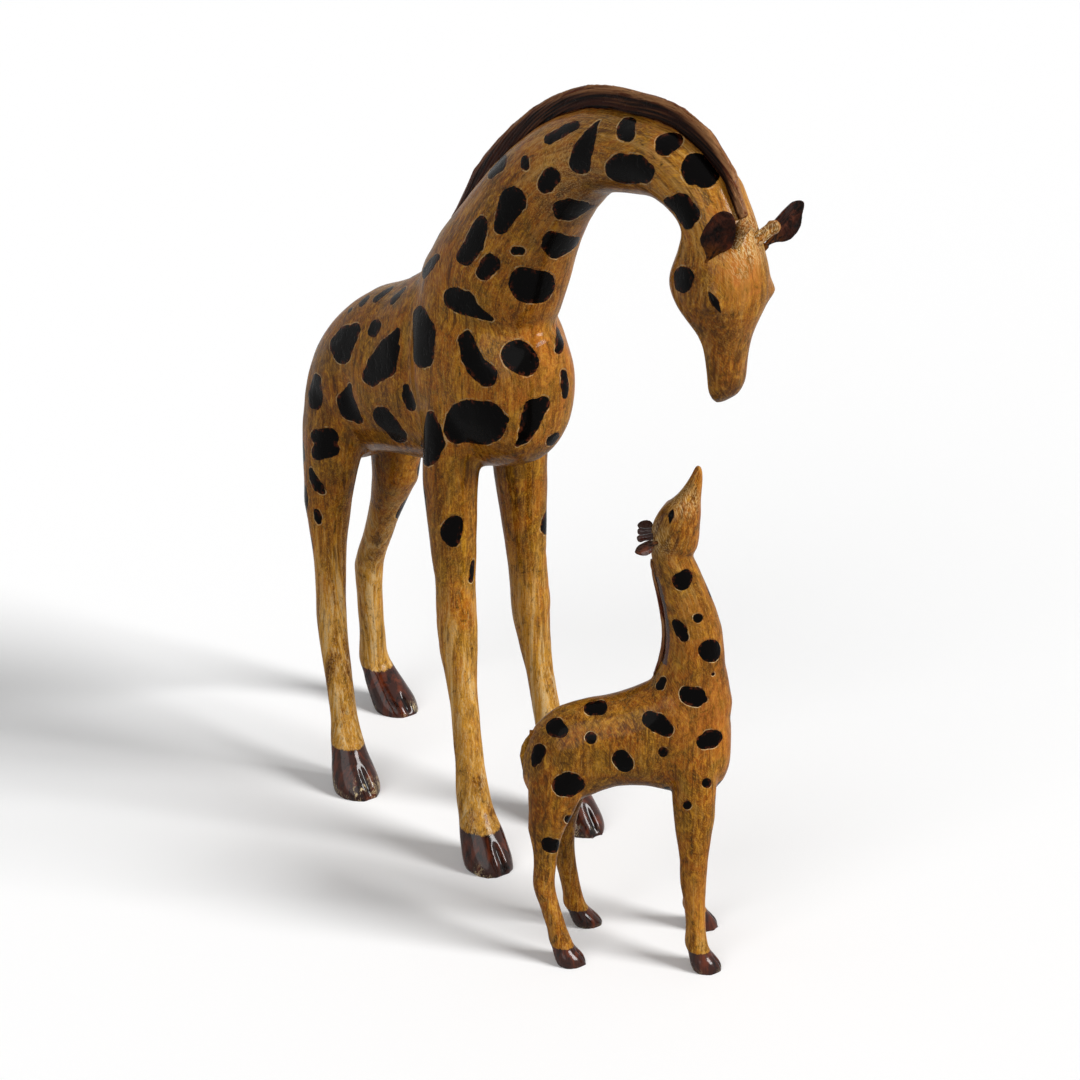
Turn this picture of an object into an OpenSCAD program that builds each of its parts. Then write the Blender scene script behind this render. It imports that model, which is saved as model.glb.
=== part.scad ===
// Carved wooden giraffe pair: a mother who bends her long neck over her calf.
// Each figure is pegged and glued together from blocks: torso, neck, head and four legs on dowels,
// with a mane strip laid along the neck and ears, horns and tail set in drilled sockets.
// Frame: +X is the mother's heading, +Y her left, +Z up, and the soles stand on z = 0.

/* [Mother body] */
// Front leg block, from sole to shoulder joint
mother_front_leg = 285; // [270:1:300]
// Rear leg block, from sole to thigh joint
mother_rear_leg = 225; // [212:1:238]
// Torso from rump to chest
mother_body_length = 280; // [265:1:300]
// Depth of the chest
mother_body_depth = 190; // [180:1:200]
// Width of the torso
mother_body_width = 98; // [92:1:104]
// Distance between the two front soles
mother_front_track = 94; // [86:1:104]
// Distance between the two rear soles
mother_rear_track = 112; // [100:1:120]
// Slimmest part of a leg
mother_leg_thickness = 21; // [18:0.5:24]
// Width of a hoof
mother_hoof_width = 38; // [32:0.5:40]

/* [Mother neck and head] */
// Reach of the neck ahead of its root
mother_neck_reach = 262; // [250:1:275]
// Rise of the neck above its root
mother_neck_rise = 175; // [165:1:185]
// Depth of the neck at the top of its arch
mother_neck_depth = 53; // [48:0.5:58]
// Width of the neck at the top of its arch
mother_neck_width = 54; // [48:0.5:60]
// Head from poll to muzzle
mother_head_length = 127; // [120:1:134]
// Depth of the head at the cheek
mother_head_depth = 68; // [62:0.5:74]
// Width of the head at the brow
mother_head_width = 62; // [58:0.5:68]
// Slope of the head, negative is muzzle down
mother_head_pitch = -86; // [-92:1:-80]
// Height of the mane strip
mother_mane_height = 15.5; // [12:0.5:18]
// Length of an ear outside its socket
mother_ear_length = 43; // [38:1:48]
// Length of a horn outside its socket
mother_horn_length = 22; // [18:1:26]
// Length of the tail
mother_tail_length = 150; // [130:1:165]

/* [Calf body] */
// Front leg block, from sole to shoulder joint
calf_front_leg = 112; // [106:1:118]
// Rear leg block, from sole to thigh joint
calf_rear_leg = 100; // [95:1:105]
// Torso from rump to chest
calf_body_length = 142; // [135:1:149]
// Depth of the chest
calf_body_depth = 86; // [81:1:91]
// Width of the torso
calf_body_width = 52; // [48:1:56]
// Distance between the two front soles
calf_front_track = 59; // [52:1:64]
// Distance between the two rear soles
calf_rear_track = 56; // [50:1:62]
// Slimmest part of a leg
calf_leg_thickness = 13; // [11.5:0.5:14.5]
// Width of a hoof
calf_hoof_width = 21; // [19:0.5:23]

/* [Calf neck and head] */
// Lean of the neck, how far its top stands behind its root
calf_neck_lean = 21; // [14:1:28]
// Rise of the neck above its root
calf_neck_rise = 131; // [122:1:140]
// Depth of the neck below the head
calf_neck_depth = 27.5; // [25:0.5:30]
// Width of the neck below the head
calf_neck_width = 27; // [24:0.5:30]
// Head from poll to muzzle
calf_head_length = 65; // [60:1:70]
// Depth of the head at the cheek
calf_head_depth = 34; // [31:0.5:37]
// Width of the head at the brow
calf_head_width = 34; // [31:0.5:37]
// Slope of the head, positive is muzzle up
calf_head_pitch = 74; // [66:1:82]
// Height of the mane strip
calf_mane_height = 2.5; // [2:0.5:4]
// Length of an ear outside its socket
calf_ear_length = 20; // [17:1:23]
// Length of a horn outside its socket
calf_horn_length = 12; // [9:1:15]
// Length of the tail
calf_tail_length = 88; // [80:1:96]

/* [Where the calf stands] */
// Calf ahead of the mother's front joint
calf_ahead = 216; // [205:1:240]
// Calf to the mother's right
calf_aside = 30; // [20:1:40]
// Turn of the calf from the mother's heading
calf_turn = 48; // [40:1:56]

/* [Joinery] */
// Diameter of the mother's leg and neck dowels
mother_dowel_d = 10; // [8:0.5:12]
// Diameter of the calf's leg and neck dowels
calf_dowel_d = 6; // [5:0.5:7]
// Dowel length as a multiple of its diameter
dowel_ratio = 5; // [4:0.25:6]
// Glue space around a dowel or peg
glue_gap = 0.1; // [0.05:0.05:0.2]

/* [Hidden] */
FIGURES = ["mother", "calf"];
PIECES = ["torso", "neck", "head", "mane", "ear_left", "ear_right", "horn_left", "horn_right", "tail",
    "leg_front_left", "leg_front_right", "leg_rear_left", "leg_rear_right",
    "leg_dowels", "neck_dowels", "head_dowel"];
NODES = [for (figure = FIGURES) for (piece = PIECES) str(figure, "_", piece)];
node = "all";
$fn = 32;

// Figures, ends and sides as list indices and signs
MOTHER = 0;
CALF = 1;
FRONT = 0;
REAR = 1;
LEFT = 1;
RIGHT = -1;
// Pitch of a row that lies flat across an upright limb, in degrees
UPRIGHT = 90;

// Sizes of both figures, mother first
leg_length = [[mother_front_leg, mother_rear_leg], [calf_front_leg, calf_rear_leg]];
track = [[mother_front_track, mother_rear_track], [calf_front_track, calf_rear_track]];
leg_r = [mother_leg_thickness, calf_leg_thickness] / 2;
hoof_r = [mother_hoof_width, calf_hoof_width] / 2;
body_length = [mother_body_length, calf_body_length];
body_depth = [mother_body_depth, calf_body_depth];
body_width = [mother_body_width, calf_body_width];
neck_run = [mother_neck_reach, -calf_neck_lean];
neck_rise = [mother_neck_rise, calf_neck_rise];
neck_depth = [mother_neck_depth, calf_neck_depth];
neck_width = [mother_neck_width, calf_neck_width];
head_length = [mother_head_length, calf_head_length];
head_depth = [mother_head_depth, calf_head_depth];
head_width = [mother_head_width, calf_head_width];
head_pitch = [mother_head_pitch, calf_head_pitch];
mane_height = [mother_mane_height, calf_mane_height];
ear_length = [mother_ear_length, calf_ear_length];
horn_length = [mother_horn_length, calf_horn_length];
tail_length = [mother_tail_length, calf_tail_length];
dowel_d = [mother_dowel_d, calf_dowel_d];
dowel_length = dowel_d * dowel_ratio;
peg_d = dowel_d * 0.7;
peg_length = peg_d * 2;

// Facets around a torso, neck, head and leg, and smooth rings between two given rows
BODY_SIDES = 24;
NECK_SIDES = 20;
HEAD_SIDES = 20;
LEG_SIDES = 12;
STEPS = 2;

// Paint colours
ochre = "#b3873a";
red_brown = "#4d2517";
bare_wood = "#c8a56a";

// Middle of the pair on the ground, kept at the origin
pair_middle = [-44.5, -14.5, 0];

// Torso rows from rump to chest: share of length, top and bottom in depths above the shoulder joint,
// and share of width
torso_form = [
    [
        [0.00, 0.10, -0.02, 0.14],
        [0.015, 0.20, -0.10, 0.38],
        [0.06, 0.37, -0.18, 0.74],
        [0.16, 0.52, -0.16, 0.98],
        [0.28, 0.63, -0.08, 1.02],
        [0.42, 0.71, -0.04, 0.98],
        [0.56, 0.83, -0.005, 0.98],
        [0.70, 0.93, 0.04, 1.02],
        [0.83, 0.87, 0.09, 0.98],
        [0.93, 0.71, 0.15, 0.78],
        [0.98, 0.66, 0.24, 0.52],
        [1.00, 0.54, 0.36, 0.20]
    ], [
        [-0.012, 0.45, 0.21, 0.30],
        [0.045, 0.68, 0.02, 0.72],
        [0.16, 0.85, -0.04, 0.96],
        [0.30, 0.93, 0.08, 1.00],
        [0.45, 0.99, 0.19, 1.00],
        [0.60, 1.11, 0.20, 1.00],
        [0.75, 1.30, 0.14, 1.00],
        [0.88, 1.08, 0.12, 0.90],
        [0.97, 0.92, 0.27, 0.62],
        [1.00, 0.74, 0.45, 0.30]
    ]
];
shoulder_share = [0.74, 0.83];
hip_share = [0.19, 0.22];
shoulder_x = [-61, 36];

// Leg stance: forward swing of joint, knee, fetlock and hoof from shoulder or hip, for the left then
// the right leg
stance = [
    [[[-4, 1, 23, 53], [-4, 12, 36, 58]], [[-22, -78, -83, -55], [-8, 4, 32, 49]]],
    [[[1, 1, 1, 8], [1, 1, 4, 11]], [[-6, -5, 2, 11], [-15, -17, -5, 2]]]
];
stance_heights = [1, 0.56, 0.17, 0];
// Half the distance between a pair of leg joints, in torso widths
joint_spread = [[0.33, 0.38], [0.33, 0.33]];
// Hoof rows: share of leg length, then half width, back and front in hoof radii
hoof_form = [
    [0.000, 0.95, 0.85, 1.15],
    [0.025, 1.00, 0.90, 1.20],
    [0.085, 0.90, 0.85, 0.95],
    [0.125, 0.78, 0.75, 0.75]
];
// Cleft at the front of a hoof, seen from above, and its height, in hoof radii
cleft_form = [[0.7, 0], [1.3, 0.14], [1.3, -0.14]];
cleft_height = 1.4;
// Shank rows of front and rear legs: share of leg length, then half width, back and front in leg radii
shank_form = [
    [
        [0.17, 1.25, 1.30, 1.25],
        [0.26, 1.05, 1.10, 1.10],
        [0.42, 1.05, 1.15, 1.15],
        [0.56, 1.32, 1.45, 1.40],
        [0.72, 1.42, 1.60, 1.50],
        [0.87, 1.62, 2.00, 1.80],
        [1.00, 1.85, 2.35, 2.10]
    ], [
        [0.17, 1.25, 1.30, 1.25],
        [0.26, 1.05, 1.10, 1.10],
        [0.42, 1.05, 1.10, 1.10],
        [0.58, 1.15, 1.25, 1.20],
        [0.72, 1.18, 1.25, 1.18],
        [0.87, 1.35, 1.55, 1.40],
        [1.00, 1.70, 2.15, 1.90]
    ]
];
// Shoulder and thigh rows: share of the way from joint to top, then half width, back and front in leg
// radii, and share of the joint's spread
haunch_form = [
    [
        [0.20, 1.95, 2.5, 2.2, 0.96],
        [0.55, 2.00, 2.7, 2.3, 0.90],
        [0.85, 1.50, 2.2, 1.8, 0.85],
        [1.00, 0.80, 1.2, 1.0, 0.80]
    ], [
        [0.20, 1.80, 2.5, 2.4, 0.95],
        [0.50, 2.00, 3.3, 3.1, 0.84],
        [0.85, 1.70, 3.0, 2.8, 0.75],
        [1.00, 0.90, 1.6, 1.4, 0.70]
    ]
];
// Top of the shoulder and the thigh, in torso depths above the shoulder joint
haunch_top = [[0.62, 0.36], [0.75, 0.66]];

// Neck rows from inside the torso to inside the head: share of run and of rise, half depth and half width
// in neck sizes
neck_form = [
    [
        [0.00, 0.00, 1.15, 0.84],
        [0.03, 0.19, 1.14, 0.81],
        [0.13, 0.41, 1.00, 0.75],
        [0.235, 0.64, 0.81, 0.67],
        [0.365, 0.83, 0.66, 0.58],
        [0.51, 0.95, 0.55, 0.52],
        [0.66, 0.98, 0.50, 0.50],
        [0.80, 0.98, 0.46, 0.48],
        [0.935, 0.885, 0.43, 0.47],
        [1.00, 0.72, 0.40, 0.45]
    ], [
        [0.27, 0.00, 1.05, 0.84],
        [0.16, 0.20, 1.10, 0.84],
        [0.04, 0.40, 0.80, 0.72],
        [0.06, 0.58, 0.71, 0.63],
        [0.34, 0.76, 0.61, 0.56],
        [0.69, 0.93, 0.53, 0.51],
        [0.93, 1.05, 0.46, 0.47]
    ]
];
// Rows where the neck meets the torso and the head
neck_foot_row = [2, 2];
neck_top_row = [8, 5];
// Distance of the two neck foot dowels from the neck's middle, in half depths
foot_dowel_spread = 0.42;
// Neck root from the shoulder joint, in torso lengths and depths
neck_root = [[-0.03, 0.55], [-0.015, 0.68]];

// Head rows from poll to muzzle: share of length, half depth to forehead and to jaw in head depths, half
// width in head widths
head_form = [
    [
        [0.00, 0.15, 0.20, 0.20],
        [0.08, 0.32, 0.38, 0.36],
        [0.21, 0.40, 0.46, 0.44],
        [0.37, 0.44, 0.60, 0.50],
        [0.50, 0.39, 0.47, 0.46],
        [0.63, 0.28, 0.19, 0.32],
        [0.75, 0.215, 0.12, 0.26],
        [0.86, 0.185, 0.12, 0.235],
        [0.95, 0.14, 0.125, 0.205],
        [1.00, 0.04, 0.09, 0.12]
    ], [
        [0.00, 0.30, 0.42, 0.35],
        [0.12, 0.38, 0.55, 0.44],
        [0.25, 0.44, 0.53, 0.48],
        [0.40, 0.40, 0.46, 0.47],
        [0.52, 0.31, 0.41, 0.41],
        [0.64, 0.19, 0.34, 0.31],
        [0.77, 0.15, 0.27, 0.24],
        [0.90, 0.11, 0.19, 0.19],
        [1.00, 0.07, 0.09, 0.11]
    ]
];
// Poll from the end of the neck run, in head lengths along X and Z
poll_shift = [[-0.04, 0.20], [-0.02, -0.08]];
// Brow bumps and the roots of ears and horns: shares of head length, width and depth
brow_at = [[0.42, 0.345, 0.21], [0.46, 0.28, 0.18]];
brow_d = head_width * 0.26;
ear_at = [[[0.215, 0.40, 0.17], [0.235, 0.36, 0.14]], [[0.15, 0.32, 0.26], [0.15, 0.32, 0.26]]];
horn_at = [[0.16, 0.13, 0.28], [0.17, 0.13, 0.34]];
// Lean towards the neck and spread to the side of each left and right ear and horn
ear_lean = [[83, 60], [24, 24]];
ear_spread = [[52, 0], [42, 42]];
// Turn of each ear's blade about its length
ear_roll = [[0, -40], [90, 90]];
horn_lean = [[66, 56], [24, 24]];
horn_spread = [[58, 0], [12, 12]];
horn_r = horn_length * 0.2;
horn_shank = horn_length * 0.36;
// Horn rows from root to tip: radius in horn radii and share of length
horn_form = [[1, 0.2], [0.9, 0.6], [1.1, 0.82], [0.75, 0.97], [0, 1]];
// Ear rows from root to tip: share of length, half width and half thickness in ear lengths
ear_root = 0.1;
ear_stem = peg_d * 0.36;
ear_form = [[0.31, 0.22, 0.07], [0.58, 0.25, 0.07], [0.80, 0.19, 0.05], [0.95, 0.08, 0.03], [1, 0.02, 0.015]];

// Tail rows from root to tip: downward share of tail length, radius in leg radii
tail_form = [
    [0.00, 0.34], [0.01, 0.36], [0.07, 0.36], [0.20, 0.34],
    [0.45, 0.30], [0.72, 0.30], [0.90, 0.42], [1.00, 0.12]
];
// How far each of those rows stands behind the root, in leg radii
tail_sweep = [[0, 0.8, 1.45, 1.75, 1.75, 1.5, 1.4, 1.35], [-0.6, -0.3, 0.42, 0.98, 0.3, -0.55, -0.85, -0.9]];
// Tail root on the rump, in torso lengths and depths
tail_at = [[0.045, 0.30], [0.03, 0.62]];

// Mane section: half width in strip widths and height in mane heights
mane_form = [[1, 0], [0.9, 0.6], [0.4, 1], [-0.4, 1], [-0.9, 0.6], [-1, 0]];
// Share of that height along the strip, low at both ends
mane_rise = [[0, 0.3], [0.14, 1], [0.88, 1], [1, 0.3]];
// First and last ring of the neck under the mane
mane_from = [3, 3];
mane_to = [17, 11];

// Smooth value between b and c with neighbours a and d
function between(a, b, c, d, t) =
    (2 * b + (c - a) * t + (2 * a - 5 * b + 4 * c - d) * t * t + (3 * b - a - 3 * c + d) * t * t * t) / 2;

// Rows with smooth rows added between them
function smooth(rows) = [
    for (i = [0 : len(rows) - 2]) for (k = [0 : STEPS - 1])
        between(rows[max(i - 1, 0)], rows[i], rows[i + 1], rows[min(i + 2, len(rows) - 1)], k / STEPS),
    rows[len(rows) - 1]
];

// Oval of points square to a path that climbs at the given pitch
function ring(c, pitch, half_width, up, down, sides) = [
    for (i = [0 : sides - 1])
        let (a = (i + 0.5) * 360 / sides, h = sin(a) * (sin(a) > 0 ? up : down))
        c + [-sin(pitch) * h, half_width * cos(a), cos(pitch) * h]
];

// Place of the left or right one in a list of two
function which(side) = side == LEFT ? 0 : 1;

function part_of(list, first, last) = [for (i = [first : last]) list[i]];

// Solid skin over a row of rings
module skin(rings) {
    n = len(rings[0]);
    last = len(rings) - 1;
    polyhedron(
        points = [for (r = rings) each r],
        faces = [
            [for (i = [0 : n - 1]) i],
            [for (i = [n - 1 : -1 : 0]) last * n + i],
            for (k = [0 : last - 1]) for (i = [0 : n - 1])
                let (j = (i + 1) % n)
                each [[k * n + i, (k + 1) * n + i, (k + 1) * n + j], [k * n + i, (k + 1) * n + j, k * n + j]]
        ],
        convexity = 6);
}

// Torso
function body_x(f, share) = shoulder_x[f] + (share - shoulder_share[f]) * body_length[f];
function body_z(f, share) = leg_length[f][FRONT] + share * body_depth[f];
function torso_rings(f) = [
    for (row = smooth(torso_form[f]))
        let (middle = (row[1] + row[2]) / 2, half = (row[1] - row[2]) / 2 * body_depth[f])
        ring([body_x(f, row[0]), 0, body_z(f, middle)], 0, row[3] * body_width[f] / 2, half, half, BODY_SIDES)
];

// Legs
function leg_stance(f, end, side) = stance[f][end][which(side)];
function leg_root_x(f, end) = body_x(f, end == FRONT ? shoulder_share[f] : hip_share[f]);
function leg_swing(f, end, side, share) =
    lookup(share, [for (i = [0 : 3]) [stance_heights[i], leg_stance(f, end, side)[i]]]);
function joint_y(f, end) = joint_spread[f][end] * body_width[f];
function leg_centre(f, end, side, share) = [
    leg_root_x(f, end) + leg_swing(f, end, side, share),
    side * (joint_y(f, end) * share + track[f][end] / 2 * (1 - share)),
    leg_length[f][end] * share
];
function leg_rows(f, end, side) = [
    for (row = hoof_form)
        [each leg_centre(f, end, side, row[0]), each [row[1], row[2], row[3]] * hoof_r[f]],
    for (row = shank_form[end])
        [each leg_centre(f, end, side, row[0]), each [row[1], row[2], row[3]] * leg_r[f]]
];
function haunch_rows(f, end, side) =
    let (joint = leg_centre(f, end, side, 1), top = body_z(f, haunch_top[f][end]))
    [
        leg_rows(f, end, side)[len(hoof_form) + len(shank_form[end]) - 1],
        for (row = haunch_form[end]) [
            joint.x + (leg_root_x(f, end) - joint.x) * row[0],
            joint.y * row[4],
            joint.z + (top - joint.z) * row[0],
            each [row[1], row[2], row[3]] * leg_r[f]
        ]
    ];
function limb_rings(rows) = [
    for (r = smooth(rows)) ring([r[0], r[1], r[2]], UPRIGHT, r[3], r[4], r[5], LEG_SIDES)
];

// Neck
function neck_rows(f) = [
    for (row = neck_form[f]) [
        shoulder_x[f] + neck_root[f][0] * body_length[f] + row[0] * neck_run[f],
        body_z(f, neck_root[f][1]) + row[1] * neck_rise[f],
        row[2] * neck_depth[f],
        row[3] * neck_width[f]
    ]
];
function neck_path(f) = smooth(neck_rows(f));
function neck_pitch(path, i) =
    let (a = path[max(i - 1, 0)], b = path[min(i + 1, len(path) - 1)])
    atan2(b[1] - a[1], b[0] - a[0]);
function neck_rings(f) =
    let (path = neck_path(f))
    [
        for (i = [0 : len(path) - 1])
            let (row = path[i])
            ring([row[0], 0, row[1]], neck_pitch(path, i), row[3], row[2], row[2], NECK_SIDES)
    ];
neck_foot = neck_foot_row * STEPS;
neck_top = neck_top_row * STEPS;

// Head
function poll(f) =
    let (end = neck_path(f)[len(neck_path(f)) - 1])
    [end[0] + poll_shift[f][0] * head_length[f], 0, end[1] + poll_shift[f][1] * head_length[f]];
function head_place(f, at, side) =
    [at[0] * head_length[f], side * at[1] * head_width[f], at[2] * head_depth[f]];
function head_rings(f) = [
    for (row = smooth(head_form[f]))
        ring([row[0] * head_length[f], 0, 0], 0, row[3] * head_width[f],
            row[1] * head_depth[f], row[2] * head_depth[f], HEAD_SIDES)
];

// Ear rings about the ear's own length, enlarged where it is let into the head
function ear_rings(f, extra) =
    limb_rings([
        for (share = [0, ear_root]) [0, 0, share * ear_length[f], each [1, 1, 1] * (ear_stem[f] + extra)],
        for (row = ear_form)
            [0, 0, row[0] * ear_length[f], each [row[1], row[2], row[2]] * ear_length[f] + [1, 1, 1] * extra]
    ]);

// Tail: root on the rump, swept rows and rings, enlarged where it is let into the rump
function tail_root(f) = [body_x(f, tail_at[f][0]), 0, body_z(f, tail_at[f][1])];
function tail_rows(f, extra) = smooth([
    for (i = [0 : len(tail_form) - 1])
        [-tail_sweep[f][i] * leg_r[f], -tail_form[i][0] * tail_length[f], tail_form[i][1] * leg_r[f] + extra]
]);
function tail_rings(f, extra) =
    let (rows = tail_rows(f, extra), root = tail_root(f))
    [
        for (i = [0 : len(rows) - 1])
            let (row = rows[i])
            ring(root + [row[0], 0, row[1]], neck_pitch(rows, i), row[2], row[2], row[2], LEG_SIDES)
    ];

// Frames of the figures, of a head and of an ear or horn root
module figure(f) {
    translate(-pair_middle)
        if (f == MOTHER) children();
        else translate([shoulder_x[MOTHER] + calf_ahead, -calf_aside, 0]) rotate(calf_turn) children();
}
module head_frame(f) {
    translate(poll(f)) rotate([0, -head_pitch[f], 0]) children();
}
module ear_frame(f, side) {
    i = which(side);
    head_frame(f) translate(head_place(f, ear_at[f][i], side))
        rotate([0, -ear_lean[f][i], 0]) rotate([-side * ear_spread[f][i], 0, 0])
        rotate(ear_roll[f][i]) children();
}
module horn_frame(f, side) {
    i = which(side);
    head_frame(f) translate(head_place(f, horn_at[f], side))
        rotate([0, -horn_lean[f][i], 0]) rotate([-side * horn_spread[f][i], 0, 0]) children();
}

// A rod of dowel stock, half on each side of its joint, and the hole that takes it
module dowel(f) {
    cylinder(d = dowel_d[f], h = dowel_length[f], center = true);
}
module dowel_hole(f) {
    cylinder(d = dowel_d[f] + 2 * glue_gap, h = dowel_length[f] + 2 * glue_gap, center = true);
}
// A round peg below its root, and the hole that takes a peg of a given radius
module peg(f) {
    translate([0, 0, -peg_length[f]]) cylinder(d = peg_d[f], h = 1.2 * peg_length[f]);
}
module socket(r, depth) {
    translate([0, 0, -depth - glue_gap]) cylinder(r = r + glue_gap, h = 2 * depth);
}

// Frames of the dowels: up a leg, and along the neck at one of its rings
module leg_joint(f, end, side) {
    joint = leg_centre(f, end, side, 1);
    below = leg_centre(f, end, side, 0.85);
    translate(joint) rotate([0, atan2(joint.x - below.x, joint.z - below.z), 0]) children();
}
module neck_joint(f, ring_index, offset) {
    path = neck_path(f);
    pitch = neck_pitch(path, ring_index);
    translate([path[ring_index][0], 0, path[ring_index][1]]) rotate([0, 90 - pitch, 0])
        translate([-offset, 0, 0]) children();
}
module foot_joints(f) {
    spread = foot_dowel_spread * neck_path(f)[neck_foot[f]][2];
    for (way = [-1, 1]) neck_joint(f, neck_foot[f], way * spread) children();
}

// Torso with the neck's root, shoulders and thighs, drilled for the dowels and the tail
module torso(f) {
    color(ochre) figure(f) difference() {
        union() {
            skin(torso_rings(f));
            skin(part_of(neck_rings(f), 0, neck_foot[f]));
            for (end = [FRONT, REAR]) for (side = [LEFT, RIGHT]) skin(limb_rings(haunch_rows(f, end, side)));
        }
        for (end = [FRONT, REAR]) for (side = [LEFT, RIGHT]) leg_joint(f, end, side) dowel_hole(f);
        foot_joints(f) dowel_hole(f);
        tail_frame(f) socket(peg_d[f] / 2, peg_length[f]);
        skin(tail_rings(f, glue_gap));
    }
}

// Arched or upright neck
module neck(f) {
    color(ochre) figure(f) difference() {
        skin(part_of(neck_rings(f), neck_foot[f], neck_top[f]));
        foot_joints(f) dowel_hole(f);
        neck_joint(f, neck_top[f], 0) dowel_hole(f);
    }
}

// Head with its share of the neck, brow bumps and the sockets of ears and horns
module head(f) {
    color(ochre) figure(f) difference() {
        union() {
            skin(part_of(neck_rings(f), neck_top[f], len(neck_rings(f)) - 1));
            head_frame(f) skin(head_rings(f));
            head_frame(f) for (side = [LEFT, RIGHT])
                translate(head_place(f, brow_at[f], side)) sphere(d = brow_d[f]);
        }
        neck_joint(f, neck_top[f], 0) dowel_hole(f);
        for (side = [LEFT, RIGHT]) {
            ear_frame(f, side) socket(peg_d[f] / 2, peg_length[f]);
            ear_frame(f, side) skin(ear_rings(f, glue_gap));
            horn_frame(f, side) socket(horn_r[f], horn_shank[f]);
        }
    }
}
// Mane strip along the crest of the neck
module mane(f) {
    path = neck_path(f);
    rings = neck_rings(f);
    crest = NECK_SIDES / 4;
    color(red_brown) figure(f) skin([
        for (k = [mane_from[f] : mane_to[f]])
            let (
                left = rings[k][crest - 1],
                along = (k - mane_from[f]) / (mane_to[f] - mane_from[f]),
                height = mane_height[f] * lookup(along, mane_rise),
                pitch = neck_pitch(path, k))
            [
                for (m = mane_form)
                    [left.x - sin(pitch) * m[1] * height, left.y * m[0], left.z + cos(pitch) * m[1] * height]
            ]
    ]);
}

// Leaf-shaped ear on a round peg
module ear(f, side) {
    color(red_brown) figure(f) ear_frame(f, side) {
        peg(f);
        skin(ear_rings(f, 0));
    }
}

// Blunt horn turned with its peg
module horn(f, side) {
    color(ochre) figure(f) horn_frame(f, side) rotate_extrude() polygon([
        [0, -horn_shank[f]],
        [horn_r[f], -horn_shank[f]],
        for (row = horn_form) [row[0] * horn_r[f], row[1] * horn_length[f]]
    ]);
}

// Tail on a peg in the rump
module tail_frame(f) {
    translate(tail_root(f)) rotate([0, -90, 0]) children();
}
module tail(f) {
    color(ochre) figure(f) {
        tail_frame(f) peg(f);
        skin(tail_rings(f, 0));
    }
}

// Leg with its cloven hoof
module leg(f, end, side) {
    hoof = leg_centre(f, end, side, 0);
    color(ochre) figure(f) difference() {
        skin(limb_rings(leg_rows(f, end, side)));
        leg_joint(f, end, side) dowel_hole(f);
        translate(hoof) linear_extrude(height = 2 * cleft_height * hoof_r[f], center = true)
            polygon(cleft_form * hoof_r[f]);
    }
}

// Dowels of the legs, the neck's foot and the head
module leg_dowels(f) {
    color(bare_wood) figure(f)
        for (end = [FRONT, REAR]) for (side = [LEFT, RIGHT]) leg_joint(f, end, side) dowel(f);
}
module neck_dowels(f) {
    color(bare_wood) figure(f) foot_joints(f) dowel(f);
}
module head_dowel(f) {
    color(bare_wood) figure(f) neck_joint(f, neck_top[f], 0) dowel(f);
}

function wanted(f, piece) = node == "all" || node == str(FIGURES[f], "_", piece);

for (f = [MOTHER, CALF]) {
    if (wanted(f, "torso")) torso(f);
    if (wanted(f, "neck")) neck(f);
    if (wanted(f, "head")) head(f);
    if (wanted(f, "mane")) mane(f);
    if (wanted(f, "ear_left")) ear(f, LEFT);
    if (wanted(f, "ear_right")) ear(f, RIGHT);
    if (wanted(f, "horn_left")) horn(f, LEFT);
    if (wanted(f, "horn_right")) horn(f, RIGHT);
    if (wanted(f, "tail")) tail(f);
    if (wanted(f, "leg_front_left")) leg(f, FRONT, LEFT);
    if (wanted(f, "leg_front_right")) leg(f, FRONT, RIGHT);
    if (wanted(f, "leg_rear_left")) leg(f, REAR, LEFT);
    if (wanted(f, "leg_rear_right")) leg(f, REAR, RIGHT);
    if (wanted(f, "leg_dowels")) leg_dowels(f);
    if (wanted(f, "neck_dowels")) neck_dowels(f);
    if (wanted(f, "head_dowel")) head_dowel(f);
}
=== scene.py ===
"""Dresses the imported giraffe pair: painted carved skins, manes, ears, horns, tails and eyes.

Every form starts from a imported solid. The blocks of each figure are blended into one carved skin,
painted by measures laid on its points, and cut again at the glued joints.
"""

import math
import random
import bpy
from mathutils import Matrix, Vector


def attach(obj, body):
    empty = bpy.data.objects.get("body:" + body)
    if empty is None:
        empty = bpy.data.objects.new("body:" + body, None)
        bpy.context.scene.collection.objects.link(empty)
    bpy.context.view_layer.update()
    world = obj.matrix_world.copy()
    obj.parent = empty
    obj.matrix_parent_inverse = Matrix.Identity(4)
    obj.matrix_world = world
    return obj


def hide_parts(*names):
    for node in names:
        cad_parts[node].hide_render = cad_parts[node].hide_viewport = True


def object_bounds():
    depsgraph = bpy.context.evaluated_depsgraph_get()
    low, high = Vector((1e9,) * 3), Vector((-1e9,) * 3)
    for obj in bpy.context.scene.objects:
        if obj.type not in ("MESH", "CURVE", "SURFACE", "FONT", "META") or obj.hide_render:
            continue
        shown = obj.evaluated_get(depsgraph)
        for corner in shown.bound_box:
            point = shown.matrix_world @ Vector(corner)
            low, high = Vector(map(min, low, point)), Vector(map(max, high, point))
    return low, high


bl_info = {
    "name": "Carved Giraffe Pair",
    "version": (1, 0, 0),
    "blender": (4, 5, 0),
    "location": "View3D > Sidebar > Giraffes",
    "description": "Carves, paints and lights a wooden mother giraffe and her calf",
    "category": "Object",
}

import bmesh
import bpy
import numpy as np
from bpy.props import FloatProperty, FloatVectorProperty, IntProperty, PointerProperty
from mathutils import Vector, noise
from mathutils.bvhtree import BVHTree

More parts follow.
